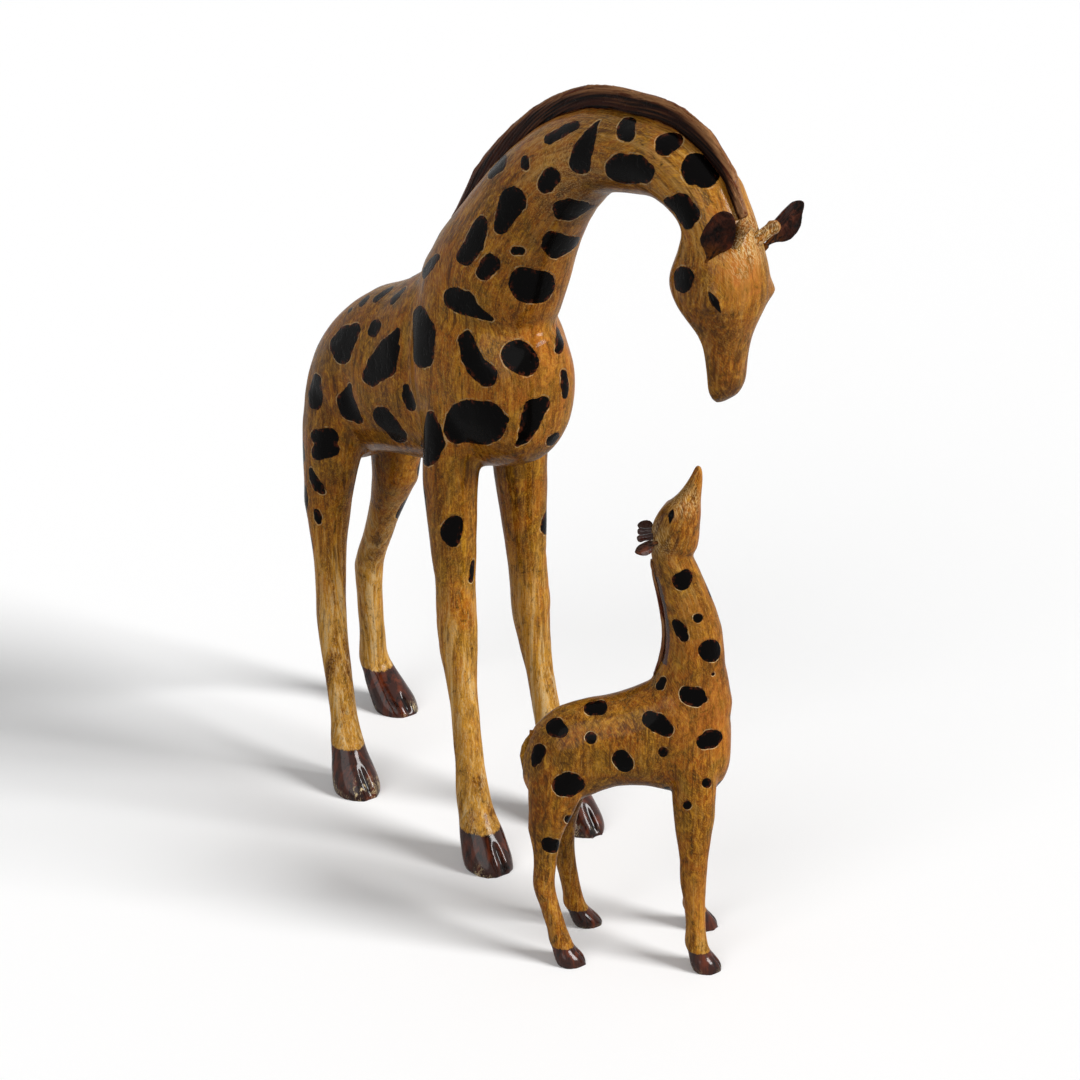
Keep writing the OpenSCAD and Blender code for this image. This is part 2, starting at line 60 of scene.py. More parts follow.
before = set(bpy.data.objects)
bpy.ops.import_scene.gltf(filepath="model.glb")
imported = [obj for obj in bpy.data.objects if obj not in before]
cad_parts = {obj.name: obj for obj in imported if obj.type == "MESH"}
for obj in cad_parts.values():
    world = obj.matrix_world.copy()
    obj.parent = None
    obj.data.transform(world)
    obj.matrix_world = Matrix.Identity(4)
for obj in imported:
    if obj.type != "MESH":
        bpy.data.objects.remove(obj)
CAD_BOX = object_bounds()

ROOT = "root"
MM = 0.001
SEED = 41
FAR = 30.0  # a distance in mm at which no spot or hoof paint reaches
OCHRE_SLOT, DARK_SLOT = "ochre_paint", "dark_paint"
LEGS = ("leg_front_left", "leg_front_right", "leg_rear_left", "leg_rear_right")
SKIN_BLOCKS = ("torso", "neck", "head", *LEGS)
DOWELS = ("leg_dowels", "neck_dowels", "head_dowel")
SIDES = ("left", "right")

# The photo's camera in metres, and its frame.
CAMERA_PLACE = (1.4290, -1.0672, 0.9649)
CAMERA_AIM = (0.0445, 0.0145, 0.2550)
SENSOR = 36.0           # the camera's frame in mm
PHOTO_FRAME = 1080.0    # pixels along a side of the photo

# Lamps: the way to each from the figures and its spread in degrees. The floor is in metres.
KEY_WAY, KEY_SPREAD = (0.88, 0.47, 0.66), 24.0
FILL_WAY, FILL_SPREAD = (0.45, -0.88, 0.55), 50.0
FLOOR_RADIUS = 14.0

# Blending and smoothing of the forms. Voxels are in metres, for the mother's size.
MANE_VOXEL, TAIL_VOXEL, FINE_VOXEL = 0.0013, 0.0007, 0.0006
EASE_STEPS = (0.63, -0.65)  # a smoothing step, and the step back that keeps limbs full
NECK_STEPS = 12             # points on each stretch of a neck line
BETWEEN_EARS = -14          # the point of a neck line that lies between the ears
JOINT_BAND = 12.0           # how far from a glued joint the skin is cut, in mm

# How the seen spots are laid and the hidden ones drawn.
EDGE_STEPS = 12         # pixels that a dab on the outline may slip inwards to meet the skin
SLANT_LIMIT = 0.55      # the flattest look at the skin that a dab is drawn out for
NO_LEAN = (0.0, 0.0, 0.0)
TURNED_AWAY = -0.15     # how far a point faces from the camera before its paint is guessed
MIRROR_DRIFT = 4        # how far a mirrored dab may stray, and the ground it keeps, in mm
DAB_SPREAD = (0.85, 1.1)
FRESH_TRIES = 40
FRESH_FORM = ((-0.55, 0.72), (0.1, 0.9), (0.7, 0.62))   # dabs of a drawn spot: place and width

EAR_BLUNT = 0.16        # how far the very tip of an ear is worn back
EAR_ROUND_FROM = 0.55   # where along an ear its tip starts to round
EAR_FULL = 1.75         # the most that an ear's edge is let out near its tip

# Each figure in its own frame, in mm: X is its heading, Y its left, Z up. A cut is a point on the
# neck line in X and Z and the pitch of the grain there in degrees. The leg joints are heights, which
# front_from and rear_to bound along X. The coronet is the height of the hoof paint. Fade is how far
# the paint pales down the legs, skirt the dark border beside the mane, dust and rim the strength of
# ear dust and spot rims. Fresh lists the radii of the drawn spots, and clear is the ground between
# them. mid_pixel is a column of the photo inside the figure. An eye form is the eye's long way, half
# length and half width.
FIGURES = {
    "mother": {
        "stand": (44.5, 14.5), "turn": 0.0, "scale": 1.0, "brush": 1.0,
        "neck": ((-69, 390), (-61, 423), (-35, 461), (-8, 501), (26, 535), (64, 556), (103, 561), (140, 561),
                 (176, 544), (192, 515), (194, 470), (196, 414)),
        "foot_cut": (-35.3, 461.3, 55.5), "head_cut": (175.6, 544.4, -43.3), "head_from": (120, 400),
        "front_joint": 285.0, "rear_joint": 225.0, "front_from": -95.0, "rear_to": -150.0,
        "hooves": {"front_left": (-8, 47), "front_right": (-3, -47),
                   "rear_left": (-270, 56), "rear_right": (-166, -56)},
        "hoof_r": 19.0,
        "coronet": {"front_left": 30.0, "front_right": 28.0, "rear_left": 31.0, "rear_right": 34.0},
        "fade": 1.0, "skirt": 0.0, "dust": 0.1, "rim": 0.4,
        "fresh": (15.0, 12.0, 9.5, 7.0, 5.0), "clear": 6.0, "ear_wear": 1.0, "mid_pixel": 430,
        "eyes": {"right": (211, -25, 490), "left": (203, 28, 488)},
        "eye_form": ((0.22, 0.44, -0.87), 7.6, 2.7),
    },
    "calf": {
        "stand": (199.5, -15.5), "turn": 48.0, "scale": 0.62, "brush": 1.1,
        "neck": ((28, 170), (30, 197), (33, 223), (33, 246), (27, 270), (19, 292),
                 (14, 308), (22, 336), (31, 365)),
        "foot_cut": (33.0, 222.9, 86.8), "head_cut": (19.4, 292.3, 108.4), "head_from": (-60, 270),
        "front_joint": 112.0, "rear_joint": 100.0, "front_from": 0.0, "rear_to": 0.0,
        "hooves": {"front_left": (44, 29.5), "front_right": (47, -29.5),
                   "rear_left": (-40, 28), "rear_right": (-49, -28)},
        "hoof_r": 10.5,
        "coronet": {"front_left": 14.0, "front_right": 14.0, "rear_left": 13.0, "rear_right": 13.0},
        "fade": 0.2, "skirt": 3.2, "dust": 0.45, "rim": 0.7,
        "fresh": (7.0, 5.5, 3.6), "clear": 8.5, "ear_wear": 0.2, "mid_pixel": 600,
        "eyes": {"right": (16, -13.5, 335), "left": (16, 13.5, 335)},
        "eye_form": ((-0.19, -0.43, -0.88), 4.8, 2.2),
    },
}

# Painted spots on the side that the photo shows, read one by one: each is a chain of brush dabs, across,
# down and radius in pixels of the photo's square frame. The script lays them on the carved skin.
PHOTO_SPOTS = {
    "mother": (
        ((549, 139, 5.5), (563, 131, 5.5), (575, 125, 5)),
        ((580, 164, 11), (583, 150, 10.5), (590, 136, 6.5), (599, 121, 1.5)),
        ((525, 159, 4), (525, 166, 4.5)),
        ((500, 163, 10), (492, 172, 7)),
        ((546, 184, 9), (551, 177, 10)),
        ((512, 201, 14), (504, 218, 10), (501, 226, 8)),
        ((481, 222, 6.5), (478, 231, 9), (473, 245, 10), (465, 256, 9.5)),
        ((561, 210, 8.5), (571, 210, 10.5), (582, 208, 8), (594, 206, 2)),
        ((515, 251, 4), (521, 251, 4)),
        ((555, 245, 13), (569, 244, 9), (576, 242, 6)),
        ((490, 264, 10), (484, 272, 8)),
        ((526, 285, 17.5), (541, 287, 16)),
        ((626, 131, 10), (629, 122, 7)),
        ((621, 170, 16), (634, 170, 14.5), (643, 173, 11)),
        ((665, 144, 10.5), (673, 140, 9.5)),
        ((697, 168, 16), (706, 172, 14), (710, 162, 9)),
        ((668, 203, 6), (679, 205, 11.5), (686, 215, 12), (687, 223, 7)),
        ((682, 277, 10.5), (682, 284, 9)),
        ((437, 257, 4), (431, 264, 6.5), (425, 272, 6.5)),
        ((454, 298, 11), (464, 303, 12), (477, 312, 6), (492, 319, 2)),
        ((419, 315, 9.5), (422, 332, 13.5), (422, 357, 11.5)),
        ((467, 334, 4), (466, 341, 8.5), (470, 355, 10), (476, 366, 10.5), (486, 375, 11.5)),
        ((517, 355, 16), (526, 362, 14)),
        ((466, 423, 22), (480, 425, 22), (488, 427, 17), (504, 420, 5)),
        ((543, 404, 8), (535, 410, 11), (530, 424, 10), (524, 438, 6), (517, 445, 2)),
        ((430, 416, 5), (430, 428, 9.5), (430, 445, 12.5), (427, 455, 11)),
        ((552, 441, 6), (556, 437, 5)),
        ((406, 387, 3.5), (408, 394, 5.5), (412, 405, 6)),
        ((382, 417, 10.5), (390, 425, 10), (398, 435, 10)),
        ((350, 386, 3), (347, 400, 9.5), (351, 410, 10.5), (359, 419, 5)),
        ((398, 330, 2.5), (388, 348, 10.5), (381, 365, 14.5), (372, 376, 10)),
        ((376, 325, 6), (373, 332, 5.5)),
        ((341, 345, 13), (347, 336, 11.5), (355, 329, 6), (342, 355, 9)),
        ((316, 380, 6.5), (315, 394, 9), (315, 403, 7)),
        ((316, 436, 7), (326, 438, 10.5), (324, 447, 11.5), (317, 453, 7), (332, 450, 7)),
        ((393, 300, 4.5), (398, 295, 4.5), (404, 289, 3)),
        ((376, 299, 4), (384, 293, 4), (391, 288, 3)),
        ((362, 303, 4), (367, 298, 3.5)),
        ((350, 310, 3),),
        ((311, 470, 2.5), (313, 478, 4), (318, 487, 5), (323, 492, 2.5)),
        ((316, 512, 3), (318, 518, 4), (319, 522, 2.5)),
        ((449, 533, 10), (455, 524, 9), (452, 538, 9)),
        ((473, 562, 2), (472, 571, 2.5), (471, 580, 2)),
        ((558, 330, 3), (560, 340, 5), (559, 350, 4)),
        ((564, 373, 3), (565, 385, 4.5), (565, 396, 3)),
    ),
    "calf": (
        ((682, 581, 9.5), (686, 577, 8)),
        ((698, 618, 5),),
        ((676, 624, 5), (681, 631, 6.5), (684, 637, 5)),
        ((711, 651, 11.5),),
        ((663, 680, 3.5), (660, 686, 4.5)),
        ((688, 695, 9), (696, 697, 10), (704, 699, 4)),
        ((591, 708, 7), (600, 707, 7.5)),
        ((555, 727, 10), (560, 730, 8)),
        ((591, 738, 6),),
        ((650, 719, 8), (658, 723, 9.5), (666, 729, 8)),
        ((704, 742, 7.5), (711, 739, 9.5), (716, 737, 7)),
        ((539, 751, 7), (536, 758, 6), (534, 764, 3)),
        ((621, 759, 9), (625, 764, 9)),
        ((663, 752, 5),),
        ((563, 786, 10.5), (571, 785, 12.5), (576, 785, 9.5)),
        ((707, 783, 5),),
        ((687, 805, 4.5),),
        ((549, 845, 7.5), (555, 846, 7)),
        ((713, 674, 1.5),),
        ((569, 819, 4.5),),
    ),
}

SKINS = {}


def to_figure(points, name):
    """Row frame in metres to a figure's own frame in mm."""
    figure = FIGURES[name]
    moved = np.asarray(points, float) / MM - np.array((*figure["stand"], 0.0))
    return turned(moved, -figure["turn"])


def to_row(points, name):
    """A figure's own frame in mm to the row frame in metres."""
    figure = FIGURES[name]
    return (turned(np.asarray(points, float), figure["turn"]) + np.array((*figure["stand"], 0.0))) * MM


def turned(points, degrees):
    c, s = math.cos(math.radians(degrees)), math.sin(math.radians(degrees))
    return points @ np.array(((c, s, 0.0), (-s, c, 0.0), (0.0, 0.0, 1.0)))


def smoothstep(low, high, value):
    t = np.clip((value - low) / (high - low), 0.0, 1.0)
    return t * t * (3.0 - 2.0 * t)


def rough(points, per_mm, salt=0.0):
    """Smooth seeded noise between about -1 and 1 for each point."""
    lift = Vector((salt * 13.7, salt * 5.3, salt * 9.1))
    return np.array([noise.noise(Vector(p) * per_mm + lift) for p in points])


def mesh_arrays(mesh):
    points = np.empty(len(mesh.vertices) * 3)
    mesh.vertices.foreach_get("co", points)
    corners = np.empty(len(mesh.loops), int)
    mesh.loops.foreach_get("vertex_index", corners)
    return points.reshape(-1, 3), corners


def triangles_of(mesh):
    """Points and triangles of a mesh."""
    points, _ = mesh_arrays(mesh)
    mesh.calc_loop_triangles()
    corners = np.empty(len(mesh.loop_triangles) * 3, int)
    mesh.loop_triangles.foreach_get("vertices", corners)
    return points, corners.reshape(-1, 3)


def polygon_spans(mesh):
    """First corner and number of corners of each polygon."""
    starts, totals = np.empty(len(mesh.polygons), int), np.empty(len(mesh.polygons), int)
    mesh.polygons.foreach_get("loop_start", starts)
    mesh.polygons.foreach_get("loop_total", totals)
    return starts, totals


def solid(name):
    """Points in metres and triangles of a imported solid."""
    return triangles_of(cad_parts[name].data)


def scratch(parts):
    """A working object that holds several welded lists of points and faces."""
    mesh = bpy.data.meshes.new("scratch")
    points, faces, start = [], [], 0
    for part_points, part_faces in parts:
        points.append(part_points)
        faces += (part_faces + start).tolist()
        start += len(part_points)
    mesh.from_pydata(np.concatenate(points).tolist(), [], faces)
    bm = bmesh.new()
    bm.from_mesh(mesh)
    bmesh.ops.remove_doubles(bm, verts=bm.verts, dist=1e-6)
    bm.to_mesh(mesh)
    bm.free()
    obj = bpy.data.objects.new("scratch", mesh)
    bpy.context.scene.collection.objects.link(obj)
    return obj


def evaluated(obj):
    """Mesh of a working object with its modifiers, after which the object is gone."""
    depsgraph = bpy.context.evaluated_depsgraph_get()
    mesh = bpy.data.meshes.new_from_object(obj.evaluated_get(depsgraph))
    bpy.data.objects.remove(obj)
    return mesh


def plug(inner, outer):
    """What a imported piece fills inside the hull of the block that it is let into."""
    hull = scratch([solid(outer)])
    bm = bmesh.new()
    bm.from_mesh(hull.data)
    made = bmesh.ops.convex_hull(bm, input=bm.verts)
    bmesh.ops.delete(bm, geom=list({*made["geom_interior"], *made["geom_unused"]}), context="VERTS")
    bm.to_mesh(hull.data)
    bm.free()
    obj = scratch([solid(inner)])
    cut = obj.modifiers.new("inside", "BOOLEAN")
    cut.operation, cut.solver, cut.object = "INTERSECT", "EXACT", hull
    mesh = evaluated(obj)
    bpy.data.objects.remove(hull)
    return triangles_of(mesh)


def edges_of(faces):
    pairs = np.concatenate([faces[:, (k, (k + 1) % faces.shape[1])] for k in range(faces.shape[1])])
    return np.unique(np.sort(pairs, axis=1), axis=0)


def main_shell(points, faces):
    """Keeps the largest joined shell."""
    a, b = edges_of(faces).T
    label = np.arange(len(points))
    while True:
        low = np.minimum(label[a], label[b])
        fresh = label.copy()
        np.minimum.at(fresh, a, low)
        np.minimum.at(fresh, b, low)
        fresh = fresh[fresh]
        if (fresh == label).all():
            break
        label = fresh
    names, counts = np.unique(label, return_counts=True)
    keep = label == names[counts.argmax()]
    order = np.cumsum(keep) - 1
    return points[keep], order[faces[keep[faces].all(axis=1)]]


def eased(points, faces, rounds):
    """Smooths a form without shrinking its limbs."""
    a, b = edges_of(faces).T
    count = len(points)
    degree = (np.bincount(a, minlength=count) + np.bincount(b, minlength=count))[:, None]
    for step in EASE_STEPS * rounds:
        total = np.stack([
            np.bincount(a, points[b, k], count) + np.bincount(b, points[a, k], count) for k in range(3)
        ], axis=1)
        points = points + step * (total / degree - points)
    return points


def carved_form(parts, voxel, rounds, levels):
    """One closed quad skin over several solids, in metres."""
    obj = scratch(parts)
    remesh = obj.modifiers.new("blend", "REMESH")
    remesh.mode, remesh.voxel_size = "VOXEL", voxel
    mesh = evaluated(obj)
    points, corners = mesh_arrays(mesh)
    points, faces = main_shell(points, corners.reshape(-1, 4))
    points = eased(points, faces, rounds)
    if levels:
        obj = scratch([(points, faces)])
        finer = obj.modifiers.new("finer", "SUBSURF")
        finer.levels = finer.render_levels = levels
        points, corners = mesh_arrays(evaluated(obj))
        faces = corners.reshape(-1, 4)
    return points, faces


def normals_of(points, faces):
    mesh = bpy.data.meshes.new("normals")
    mesh.from_pydata(points.tolist(), [], faces.tolist())
    out = np.empty(len(points) * 3)
    mesh.vertex_normals.foreach_get("vector", out)
    bpy.data.meshes.remove(mesh)
    return out.reshape(-1, 3)


def in_box(points, name):
    """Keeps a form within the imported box."""
    return to_figure(np.clip(to_row(points, name), np.array(CAD_BOX[0]), np.array(CAD_BOX[1])), name)


def neck_line(name):
    """Even points along the neck and head in X and Z, with their run from the first."""
    rows = np.array(FIGURES[name]["neck"], float)
    padded = np.concatenate((2 * rows[:1] - rows[1:2], rows, 2 * rows[-1:] - rows[-2:-1]))
    line = []
    for i in range(len(rows) - 1):
        p0, p1, p2, p3 = padded[i:i + 4]
        for t in np.linspace(0.0, 1.0, NECK_STEPS, endpoint=False):
            line.append(0.5 * (2 * p1 + (p2 - p0) * t + (2 * p0 - 5 * p1 + 4 * p2 - p3) * t * t
                               + (3 * p1 - p0 - 3 * p2 + p3) * t ** 3))
    line = np.array(line + [rows[-1]])
    run = np.concatenate(([0.0], np.cumsum(np.linalg.norm(np.diff(line, axis=0), axis=1))))
    return line, run


def along_neck(points, name):
    """Run along the neck line and height above it towards the mane, in mm."""
    line, run = neck_line(name)
    flat = points[:, (0, 2)]
    near = ((line ** 2).sum(axis=1) - 2 * flat @ line.T).argmin(axis=1)
    way = np.gradient(line, axis=0)
    way = (way / np.linalg.norm(way, axis=1, keepdims=True))[near]
    off = flat - line[near]
    half_step = np.gradient(run)[near] / 2
    ahead = np.clip((off * way).sum(axis=1), -half_step, half_step)
    return run[near] + ahead, off[:, 1] * way[:, 0] - off[:, 0] * way[:, 1]


def crest_profile(run, above, step):
    """Height of the crest at even stations along the neck, with the stations."""
    stations = np.arange(run.min() + step / 2, run.max(), step)
    heights = [np.percentile(above[np.abs(run - at) <= step / 2], 97) for at in stations]
    return stations, np.array(heights)


def beyond(points, cut):
    """How far points lie past a neck cut, in mm."""
    pitch = math.radians(cut[2])
    return (points[:, 0] - cut[0]) * math.cos(pitch) + (points[:, 2] - cut[1]) * math.sin(pitch)


def grain_of(points, name):
    """Coordinates whose third runs with the brush: down the legs and body, then along the neck."""
    figure = FIGURES[name]
    run, above = along_neck(points, name)
    foot_x, foot_z, _ = figure["foot_cut"]
    start = along_neck(np.array(((foot_x, 0.0, foot_z),)), name)[0][0]
    on_neck = np.stack((foot_x - above, points[:, 1], foot_z + run - start), axis=1)
    low, high = -45 * figure["scale"], 15 * figure["scale"]
    share = smoothstep(low, high, beyond(points, figure["foot_cut"]))[:, None]
    return points * (1 - share) + on_neck * share


def set_soles(points, name):
    """Flattens the soles on the floor."""
    low, high = 1.5 * FIGURES[name]["scale"], 9.0 * FIGURES[name]["scale"]
    z = points[:, 2]
    points[:, 2] = np.where(z < high, np.maximum(0.0, (z - low) * high / (high - low)), z)
    return points


def hoof_measures(points, name):
    """Height above the painted coronet line and depth of the toe cleft, in mm."""
    figure = FIGURES[name]
    above, cleft = np.full(len(points), FAR), np.zeros(len(points))
    r, height = figure["hoof_r"], points[:, 2]
    for place, (x, y) in figure["hooves"].items():
        top = figure["coronet"][place]
        ahead, aside = points[:, 0] - x, points[:, 1] - y
        near = (np.hypot(ahead, aside) < 3 * r) & (height < 3 * top)
        line = height - top + 0.10 * (ahead - 0.3 * r)
        above = np.where(near, np.minimum(above, line), above)
        width = 0.085 * r * (1.0 + 0.6 * smoothstep(top, 0.0, height))
        groove = np.exp(-(aside / width) ** 2) * smoothstep(0.1 * r, 0.6 * r, ahead)
        groove *= smoothstep(0.02 * top, 0.2 * top, height) * smoothstep(0.95 * top, 0.6 * top, height)
        cleft = np.where(near, np.maximum(cleft, groove), cleft)
    return above, cleft


def spot_distance(points, chain, best):
    """Lowers the kept distance to the nearest painted edge by one chain of dabs.

    A dab is a place, a radius and its lean: the way it is drawn out on the skin, as long as the share
    that a look along the line of sight takes from it again.
    """
    dabs = np.array(chain, float)
    centre = dabs[:, :3].mean(axis=0)
    widest = np.linalg.norm(dabs[:, :3] - centre, axis=1).max() + dabs[:, 3].max()
    near = np.where(((points - centre) ** 2).sum(axis=1) < (widest / SLANT_LIMIT + FAR) ** 2)[0]
    pairs = [(dabs[0], dabs[0])] if len(dabs) == 1 else list(zip(dabs[:-1], dabs[1:]))
    for a, b in pairs:
        lean = (a[4:] + b[4:]) / 2
        share = max(np.linalg.norm(lean), 1e-9)
        shrink = np.eye(3) - np.outer(lean, lean) / share
        local, step = points[near] - a[:3], b[:3] - a[:3]
        seen, seen_step = local @ shrink, shrink @ step
        t = np.clip(seen @ seen_step / max(seen_step @ seen_step, 1e-9), 0.0, 1.0)[:, None]
        off = np.linalg.norm(seen - t * seen_step, axis=1)
        drawn = np.linalg.norm(local - t * step, axis=1) / np.maximum(off, 1e-6)
        gap = (off - a[3] - t[:, 0] * (b[3] - a[3])) * np.clip(drawn, 1.0, 1.0 / SLANT_LIMIT)
        best[near] = np.minimum(best[near], gap)
    return best


def line_of_sight(across, down):
    """Where a pixel of the photo looks, in the row frame, one metre deep, and the focal length in pixels."""
    back = (Vector(CAMERA_PLACE) - Vector(CAMERA_AIM)).normalized()
    right = Vector((0.0, 0.0, 1.0)).cross(back).normalized()
    focal = PHOTO_FRAME / SENSOR * bpy.context.scene.giraffe_stage.lens
    aside, lower = (across - PHOTO_FRAME / 2) / focal, (down - PHOTO_FRAME / 2) / focal
    return right * aside - back.cross(right) * lower - back, focal


def laid_spots(points, faces, name):
    """The seen spots, laid on the skin along the line of sight: places and radii in mm, and leans."""
    tree = BVHTree.FromPolygons(points.tolist(), faces.tolist())
    eye = Vector(CAMERA_PLACE)
    start = Vector(to_figure(eye, name))
    chains = []
    for chain in PHOTO_SPOTS[name]:
        laid = []
        for across, down, radius in chain:
            inwards = 1.0 if across < FIGURES[name]["mid_pixel"] else -1.0
            for slip in range(EDGE_STEPS):
                sight, focal = line_of_sight(across + inwards * slip, down)
                way = (Vector(to_figure(eye + sight, name)) - start).normalized()
                seat, facing, _, reach = tree.ray_cast(start, way)
                if seat is not None:
                    break
            else:
                raise RuntimeError(f"a dab at {across}, {down} misses the {name}")
            slant = max(abs(facing.dot(way)), SLANT_LIMIT)
            lean = (way - facing * way.dot(facing)).normalized() * (1.0 - slant)
            laid.append((*seat, radius * reach / sight.length / focal, *lean))
        chains.append(laid)
    return chains


def painted_spots(points, faces, normals, name, eye_point):
    """Distance to the spots: the laid ones, then mirrored and fresh ones on the sides turned away."""
    figure = FIGURES[name]
    size = figure["scale"]
    dice = random.Random(SEED + len(name))
    best = np.full(len(points), FAR)
    chains = laid_spots(points, faces, name)
    for chain in chains:
        best = spot_distance(points, chain, best)
    view = eye_point - points
    hidden = (view * normals).sum(axis=1) < TURNED_AWAY * np.linalg.norm(view, axis=1)
    _, above = along_neck(points, name)
    on_head = (beyond(points, figure["head_cut"]) > 0) & (points[:, 0] > figure["head_from"][0])
    on_head &= points[:, 2] > figure["head_from"][1]
    low = np.where(points[:, 0] > figure["front_from"], figure["front_joint"], figure["rear_joint"])
    crest = (beyond(points, figure["foot_cut"]) > 0) & (np.abs(points[:, 1]) < 11 * size) & (above > 0)
    outer = (points[:, 2] > 1.1 * low) | (normals[:, 1] * np.sign(points[:, 1]) > 0.4)
    free = hidden & outer & ~on_head & ~crest & (points[:, 2] > 0.86 * low) & (normals[:, 2] > -0.75)
    for chain in chains:
        copy = []
        for x, y, z, r, *lean in chain:
            stray = [dice.uniform(-MIRROR_DRIFT, MIRROR_DRIFT) * size for _ in range(2)]
            aim = np.array((x + stray[0], -y, z + stray[1]))
            near = ((points - aim) ** 2).sum(axis=1).argmin()
            copy.append((*points[near], r * dice.uniform(*DAB_SPREAD), lean[0], -lean[1], lean[2]))
            if not free[near] or best[near] < r + MIRROR_DRIFT * size:
                break
        else:
            best = spot_distance(points, copy, best)
    for r in figure["fresh"]:
        for _ in range(FRESH_TRIES):
            open_points = np.where(free & (best > r + figure["clear"]))[0]
            if not len(open_points):
                break
            seat = open_points[dice.randrange(len(open_points))]
            chain = []
            side = Vector([dice.uniform(-1, 1) for _ in range(3)]).normalized()
            for share, width in FRESH_FORM:
                aim = points[seat] + np.array(side) * r * share
                near = ((points - aim) ** 2).sum(axis=1).argmin()
                chain.append((*points[near], r * width * dice.uniform(*DAB_SPREAD), *NO_LEAN))
            best = spot_distance(points, chain, best)
    return best


def tints_of(points, normals, name):
    """Shares for each point of patina with painted shade on the flanks, under the belly and in glaze patches,
    of pale rubbing, of warm blush with a painted highlight on forward faces, brow and chest, and of chalk.
    """
    figure = FIGURES[name]
    size = figure["scale"]
    joint = figure["front_joint"]
    past_foot = beyond(points, figure["foot_cut"])
    # Painted shade: the sides of the rear body are darkened.
    flank_shade = smoothstep(0.25, 0.8, np.abs(normals[:, 1])) * smoothstep(-40 * size, -110 * size, points[:, 0])
    flank_shade *= smoothstep(0.85 * figure["rear_joint"], 1.15 * figure["rear_joint"], points[:, 2])
    # Painted shade: faces turned down under the body are darkened.
    belly_shade = smoothstep(-0.2, -0.8, normals[:, 2]) * smoothstep(0.7 * joint, 0.95 * joint, points[:, 2])
    patina = np.clip(0.45 * flank_shade + 0.7 * belly_shade + patches(points, GLAZE_AND_SHADE[name]), 0.0, 1.0)
    pale = figure["fade"] * smoothstep(0.85 * joint, 0.4 * joint, points[:, 2])
    pale = np.maximum(pale, 0.15 * smoothstep(0.0, 60.0 * size, past_foot))
    # Painted highlight: faces turned forward above the joints get a warmer, lighter blush.
    blush = 0.3 * smoothstep(0.3, 0.9, normals[:, 0]) * smoothstep(0.9 * joint, 1.3 * joint, points[:, 2])
    blush = np.maximum(blush, patches(points, BLUSH_AND_HIGHLIGHT[name]))
    chalk = patches(points, CHALK[name])
    return patina, pale, blush, chalk


# Brown glaze patches, which also paint shade on head, neck and body, warm patches, which also paint a
# highlight on brow and chest, and chalky rubbed patches: centre, reach in mm and strength.
GLAZE_AND_SHADE = {
    "mother": (((198, -26, 466), 46, 0.6), ((200, 0, 424), 60, 0.7), ((188, -28, 492), 34, 0.65),
               ((110, -20, 555), 90, 0.25), ((10, -26, 500), 90, 0.4), ((-30, -36, 448), 70, 0.25),
               ((-61, -44, 270), 60, 0.6), ((-61, 44, 270), 60, 0.3), ((-215, -46, 320), 60, 0.3),
               ((0, -30, 380), 46, 0.35), ((-240, 50, 150), 60, 0.35)),
    "calf": (((18, -14, 275), 52, 0.55), ((-50, -26, 90), 70, 0.5), ((40, -28, 90), 60, 0.4),
             ((-10, -26, 165), 80, 0.45), ((44, -18, 235), 56, 0.5), ((16, -16, 325), 30, 0.5),
             ((-60, -26, 160), 50, 0.3), ((-50, -28, 30), 40, 0.45), ((4, -12, 325), 10, 1.0),
             ((12, -16, 312), 7, 1.0)),
}
BLUSH_AND_HIGHLIGHT = {
    "mother": (((218, -6, 504), 26, 1.0), ((212, 10, 430), 30, 0.6), ((206, 0, 470), 26, 0.4),
               ((20, 6, 385), 70, 0.55)),
    "calf": (((50, 0, 190), 60, 0.75), ((44, 0, 250), 46, 0.5), ((-72, 0, 110), 34, 0.8),
             ((44, -30, 50), 40, 0.4)),
}
CHALK = {
    "mother": (((208, 0, 528), 26, 0.7), ((219, -10, 512), 13, 0.35), ((60, 0, 540), 60, 0.2),
               ((-148, -60, 9), 15, 0.9)),
    "calf": (((12, 0, 316), 20, 0.8), ((24, -6, 343), 16, 0.35)),
}


def patches(points, table):
    """The strongest of several soft round patches at each point."""
    share = np.zeros(len(points))
    for centre, reach, strength in table:
        gap = np.linalg.norm(points - np.array(centre), axis=1)
        share = np.maximum(share, strength * smoothstep(reach, 0.3 * reach, gap))
    return share


# Valleys and swellings cut into the skin: two ends, half width and depth in mm, on both sides.
HOLLOWS = {
    "mother": (
        ((-104, 50, 428), (-98, 50, 318), 12.0, -5.0), ((-172, 46, 300), (-186, 48, 352), 14.0, -3.2),
        ((-58, 30, 448), (-34, 40, 415), 13.0, -1.6), ((200, 31, 481), (210, 22, 470), 8.0, -1.8),
        ((186, 24, 520), (196, 28, 508), 8.0, -1.2),
        ((-58, 38, 222), (-57, 38, 212), 12.0, -1.4), ((-56, 38, 188), (-52, 38, 168), 14.0, 2.6),
        ((-46, 40, 142), (-40, 41, 112), 13.0, -1.4),
    ),
    "calf": (
        ((12, 27, 192), (12, 27, 138), 6.0, -1.9), ((-34, 24, 132), (-36, 26, 168), 7.0, -1.4),
        ((24, 9, 338), (30, 7, 350), 4.0, -0.8), ((13, 13, 330), (14, 14, 322), 3.5, -0.9),
    ),
}


def hollows_of(points, name):
    """Depth of the carved valleys behind the shoulders, before the thighs and round the eyes, in mm."""
    depth = np.zeros(len(points))
    mirrored = points * np.array((1.0, -1.0, 1.0))
    for start, end, width, height in HOLLOWS[name]:
        start, step = np.array(start, float), np.array(end, float) - np.array(start, float)
        for side in (points, mirrored):
            t = np.clip((side - start) @ step / (step @ step), 0.0, 1.0)
            gap = np.linalg.norm(side - start - t[:, None] * step, axis=1)
            depth += height * np.exp(-(gap / width) ** 2) * np.sin(math.pi * np.clip(0.15 + 0.7 * t, 0, 1))
    return depth


